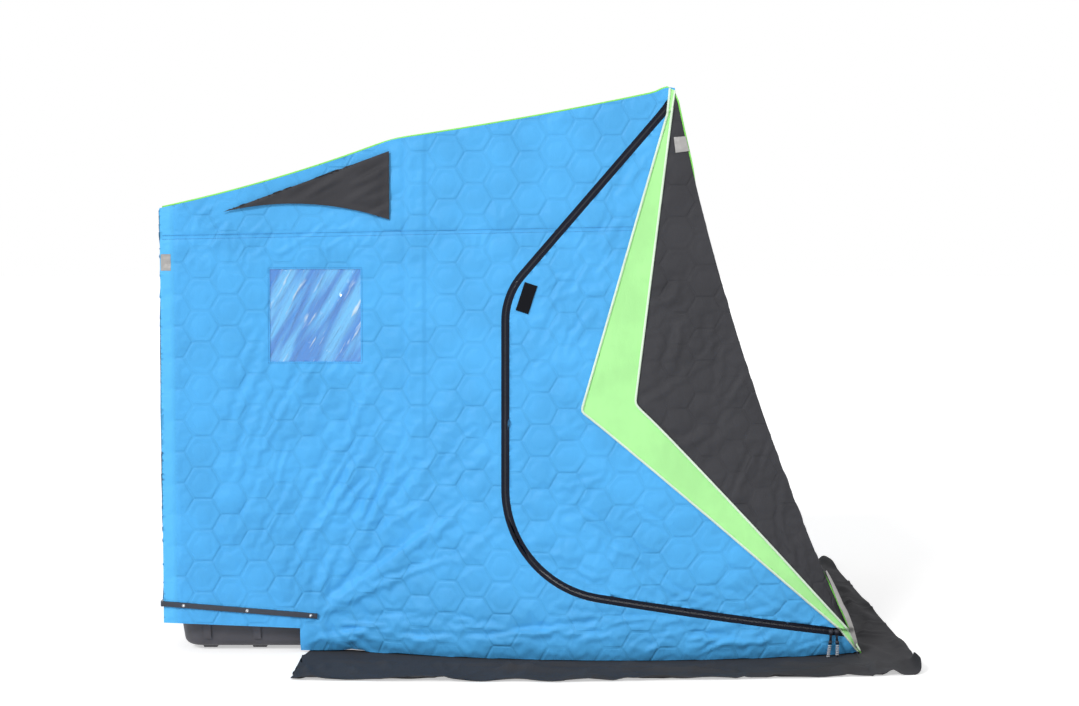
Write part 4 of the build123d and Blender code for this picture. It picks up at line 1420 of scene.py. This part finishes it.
def sewn_patch(name, corners, out, material, body, thickness=0.0010):
    """Thin patch laid on the near side between four corners of the side view, and its mirror."""
    steps = 14
    low_left, low_right, high_right, high_left = (np.array(corner) for corner in corners)
    places = []
    for v in np.linspace(0, 1, steps + 1):
        for u in np.linspace(0, 1, steps + 1):
            low = low_left * (1 - u) + low_right * u
            high = high_left * (1 - u) + high_right * u
            places.append(tuple(low * (1 - v) + high * v))
    spots = laid_on_near_side(places)
    for side in SIDES:
        flip = 1 if side == "near" else -1
        shape = bmesh.new()
        verts = [shape.verts.new((spot.x, flip * (spot.y - out), spot.z)) for spot in spots]
        row = steps + 1
        rows = [verts[start:start + row] for start in range(0, len(verts), row)]
        add_sheet_faces(shape, rows, flip)
        label = f"{side}_{name}"
        piece = placed(mesh_of(shape, label), label, material, body.format(side=side))
        sharpen_rim(piece.data)
        add_wall(piece, thickness)


def sewn_cord(name, line, radius):
    """Short pale piping over the near side's cloth, and its mirror."""
    start, end = (np.array(place) for place in line)
    parts = max(4, round(float(np.hypot(*(end - start))) / 0.006))
    places = [tuple(start + (end - start) * part / parts) for part in range(parts + 1)]
    points = [spot - Vector((0, radius * 0.6, 0)) for spot in laid_on_near_side(places)]
    points = eased_line(points, 3)
    for side in SIDES:
        cord_trim(f"{side}_{name}", [on_side(side, points)], radius, white_cord, "root")


def foot_reflector():
    """Reflective tape wrapped round the front edges at the foot, standing a little proud."""
    shares = np.linspace(0, 1, 27)
    levels = 0.028 + 0.272 * shares
    edges = laid_on_near_side([(float(front_edge_x(z)) - 0.020, float(z)) for z in levels])
    for side in SIDES:
        flip = 1 if side == "near" else -1
        shape = bmesh.new()
        rows = []
        for share, spot in zip(shares, edges):
            bulge = 0.012 * max(0.0, math.sin(math.pi * share)) ** 0.7
            x, edge, z = spot.x + 0.024, spot.y, spot.z
            rows.append([
                shape.verts.new((place_x, flip * place_y, z)) for place_x, place_y in (
                    (x - 0.006 * (1 - share), edge - 0.0035), (x + bulge, edge - 0.001),
                    (x + 0.006 + bulge, edge + 0.008), (x + 0.005 + bulge * 0.5, edge + 0.030),
                )
            ])
        add_sheet_faces(shape, rows, flip)
        label = f"{side}_foot_reflector"
        piece = placed(mesh_of(shape, label), label, reflective, "root")
        sharpen_rim(piece.data)
        add_wall(piece, TAPE)
        even = piece.modifiers.new("even", "SUBSURF")
        even.levels = even.render_levels = 2


def tapered_bar(shape, top, foot, wide, thick, bevel):
    """Adds a flat bar between two points, each with its own width, edges broken."""
    made = bmesh.ops.create_cube(shape, size=1.0)["verts"]
    for vert in made:
        down = 0.5 - vert.co.z
        middle = top.lerp(foot, down)
        width = wide[0] + (wide[1] - wide[0]) * down
        vert.co = middle + Vector((vert.co.x * width, vert.co.y * thick, 0))
    edges = {edge for vert in made for edge in vert.link_edges}
    bmesh.ops.bevel(shape, geom=list(edges), offset=bevel, segments=2, affect="EDGES")


def pull_tabs():
    """Two zip sliders with straps and ribbed grips that hang over the sill."""
    low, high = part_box("near_zip_pulls")
    middle = Vector(((low.x + high.x) / 2 + 0.010, low.y - 0.001, high.z + 0.004))
    for side in SIDES:
        straps, grips = bmesh.new(), bmesh.new()
        for sign, drop in ((-1, 0.094), (1, 0.086)):
            top = middle + Vector((sign * 0.010, -0.002, 0))
            knot = top + Vector((sign * 0.001, 0, -0.030))
            grip = top + Vector((sign * 0.003, 0, -0.044))
            foot = top + Vector((-0.004 + sign * 0.006, 0, -drop))
            tapered_bar(straps, top + Vector((0, 0, 0.008)), top - Vector((0, 0, 0.012)),
                        (0.016, 0.013), 0.008, 0.0014)
            tapered_bar(straps, top, knot, (0.008, 0.009), 0.0030, 0.0006)
            tapered_bar(straps, knot, grip, (0.012, 0.013), 0.0040, 0.0009)
            tapered_bar(straps, foot + (grip - foot) * 0.12, foot, (0.010, 0.006), 0.0030, 0.0008)
            for rib in range(6):
                share = rib / 6
                start = grip.lerp(foot, 0.04 + share * 0.86)
                end = grip.lerp(foot, 0.04 + (share + 0.13) * 0.86)
                tapered_bar(grips, start, end, (0.0115, 0.0115), 0.0042, 0.0008)
        for shape, label, material in (
            (straps, "pull_straps", pull_plastic), (grips, "pull_grips", grip_rubber),
        ):
            if side == "far":
                for vert in shape.verts:
                    vert.co.y *= -1
            bmesh.ops.recalc_face_normals(shape, faces=shape.faces)
            piece = placed(mesh_of(shape, f"{side}_{label}"), f"{side}_{label}", material,
                           "root")
            if label == "pull_straps":
                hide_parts(f"{side}_zip_pulls")


stripe_piping()
hut_piping()
zip_teeth()
seam_stitches()
rail_screws()
pull_tabs()
sewn_patch("rear_reflector", [(back_x + 0.003, 1.322), (back_x + 0.037, 1.322),
                             (back_x + 0.037, 1.378), (back_x + 0.003, 1.378)],
           TAPE, reflective, "root")
sewn_patch("peak_reflector", [(front_edge_x(1.722) - 0.046, 1.722), (front_edge_x(1.722), 1.728),
                              (front_edge_x(1.775), 1.778), (front_edge_x(1.775) - 0.040, 1.775)],
           0.0030, reflective, "{side}_door")

# The stripe and the black panel carry on over the zip's two ends
peak_rear, peak_front = ((line[0].x, line[0].z) for line in (rear_line, front_line))
tip_rear, tip_front = (peak.x - 0.0165, peak.z + 0.001), (peak.x + 0.0005, peak.z - 0.006)
peak_corner = (float(front_edge_x(peak_front[1])) - 0.002, peak_front[1])
sewn_patch("peak_stripe", [peak_rear, peak_front, tip_front, tip_rear],
           0.0020, green_shell, "root", 0.0020)
sewn_patch("peak_corner", [peak_front, peak_corner, (peak.x + 0.001, peak.z - 0.020), tip_front],
           0.0014, black_hood, "root", 0.0020)
sewn_cord("peak_piping_rear", [peak_rear, tip_rear], PIPING)
sewn_cord("peak_piping_front", [peak_front, tip_front], PIPING * 0.8)
foot_rear, foot_front = ((line[-1].x, line[-1].z) for line in (rear_line, front_line))
toe_rear, toe_front = (1.106, 0.014), (1.111, 0.020)
sewn_patch("foot_stripe", [toe_rear, toe_front, foot_front, foot_rear],
           0.0020, green_shell, "root", 0.0020)
sewn_cord("foot_piping_rear", [foot_rear, toe_rear], PIPING * 0.8)
sewn_cord("foot_piping_front", [foot_front, toe_front], PIPING * 0.7)
foot_reflector()


# ---- Finishes of the rigid nodes ----------------------------------------------------------

def refinish(name, material):
    """Gives a CAD node its finished material."""
    mesh = nodes[name].data
    if not mesh.materials:
        mesh.materials.append(material)
    for slot in range(len(mesh.materials)):
        mesh.materials[slot] = material


refinish("sled_tub", sled_plastic)
refinish("back_clamp_rail", rail_paint)
for name in ("rear_bow", "middle_bow", "peak_bow", "front_bow"):
    refinish(name, bow_paint)
for side in SIDES:
    refinish(f"{side}_clamp_rail", rail_paint)
    refinish(f"{side}_pivot_bracket", bracket_paint)
    refinish(f"{side}_hook_patch", hook_pile)


# ---- Floor, light and camera ----------------------------------------------------------------

def pale_floor():
    """Floor that shows white round the hut and keeps its shadow."""
    finish = Finish("pale_floor", Base_Color=(0.84, 0.84, 0.84, 1), Roughness=0.9)
    finish.shader.inputs["Specular IOR Level"].default_value = 0.1
    glow = finish.add("Emission", Color=(1, 1, 1, 1),
                      Strength=finish.math("MULTIPLY", finish.seen_directly(), 0.50))
    both = finish.tree.nodes.new("ShaderNodeAddShader")
    finish.tree.links.new(finish.shader.outputs[0], both.inputs[0])
    finish.tree.links.new(glow, both.inputs[1])
    output = finish.tree.nodes["Material Output"]
    finish.tree.links.new(both.outputs[0], output.inputs["Surface"])
    mesh = bpy.data.meshes.new("ice_floor")
    reach = 60.0
    mesh.from_pydata(
        [(-reach, -reach, 0), (reach, -reach, 0), (reach, reach, 0), (-reach, reach, 0)], [],
        [(0, 1, 2, 3)],
    )
    mesh.materials.append(finish.material)
    in_scene("ice_floor", mesh)


def pale_world():
    """Even daylight; the background itself shows white."""
    world = bpy.data.worlds.new("studio")
    bpy.context.scene.world = world
    world.use_nodes = True
    sky = ShaderNodes(world.node_tree)
    strength = sky.add("MapRange", Value=sky.seen_directly(), To_Min=0.44, To_Max=1.0)
    background = world.node_tree.nodes["Background"]
    background.inputs["Color"].default_value = (1, 1, 1, 1)
    world.node_tree.links.new(strength, background.inputs["Strength"])


def soft_sun(name, direction, angle, power):
    """A wide, soft light from far away."""
    lamp = bpy.data.lights.new(name, "SUN")
    lamp.energy = power
    lamp.angle = math.radians(angle)
    in_scene(name, lamp).rotation_euler = Vector(direction).to_track_quat("-Z", "Y").to_euler()


pale_floor()
pale_world()
soft_sun("key", (0.55, 0.75, -0.60), 14, 1.75)
soft_sun("fill", (-0.55, 0.55, -0.30), 50, 0.30)
soft_sun("back_light", (0.10, -0.80, -0.60), 50, 0.50)

camera_data = bpy.data.cameras.new("camera")
camera_data.lens = 67.93
camera_data.sensor_width = 36
camera = in_scene("camera", camera_data)
camera.location = (0.011, -7.78, 1.45)
camera.rotation_euler = (math.radians(90 - 3.37), 0, 0)
bpy.context.scene.camera = camera
bpy.context.scene.view_settings.view_transform = "Standard"
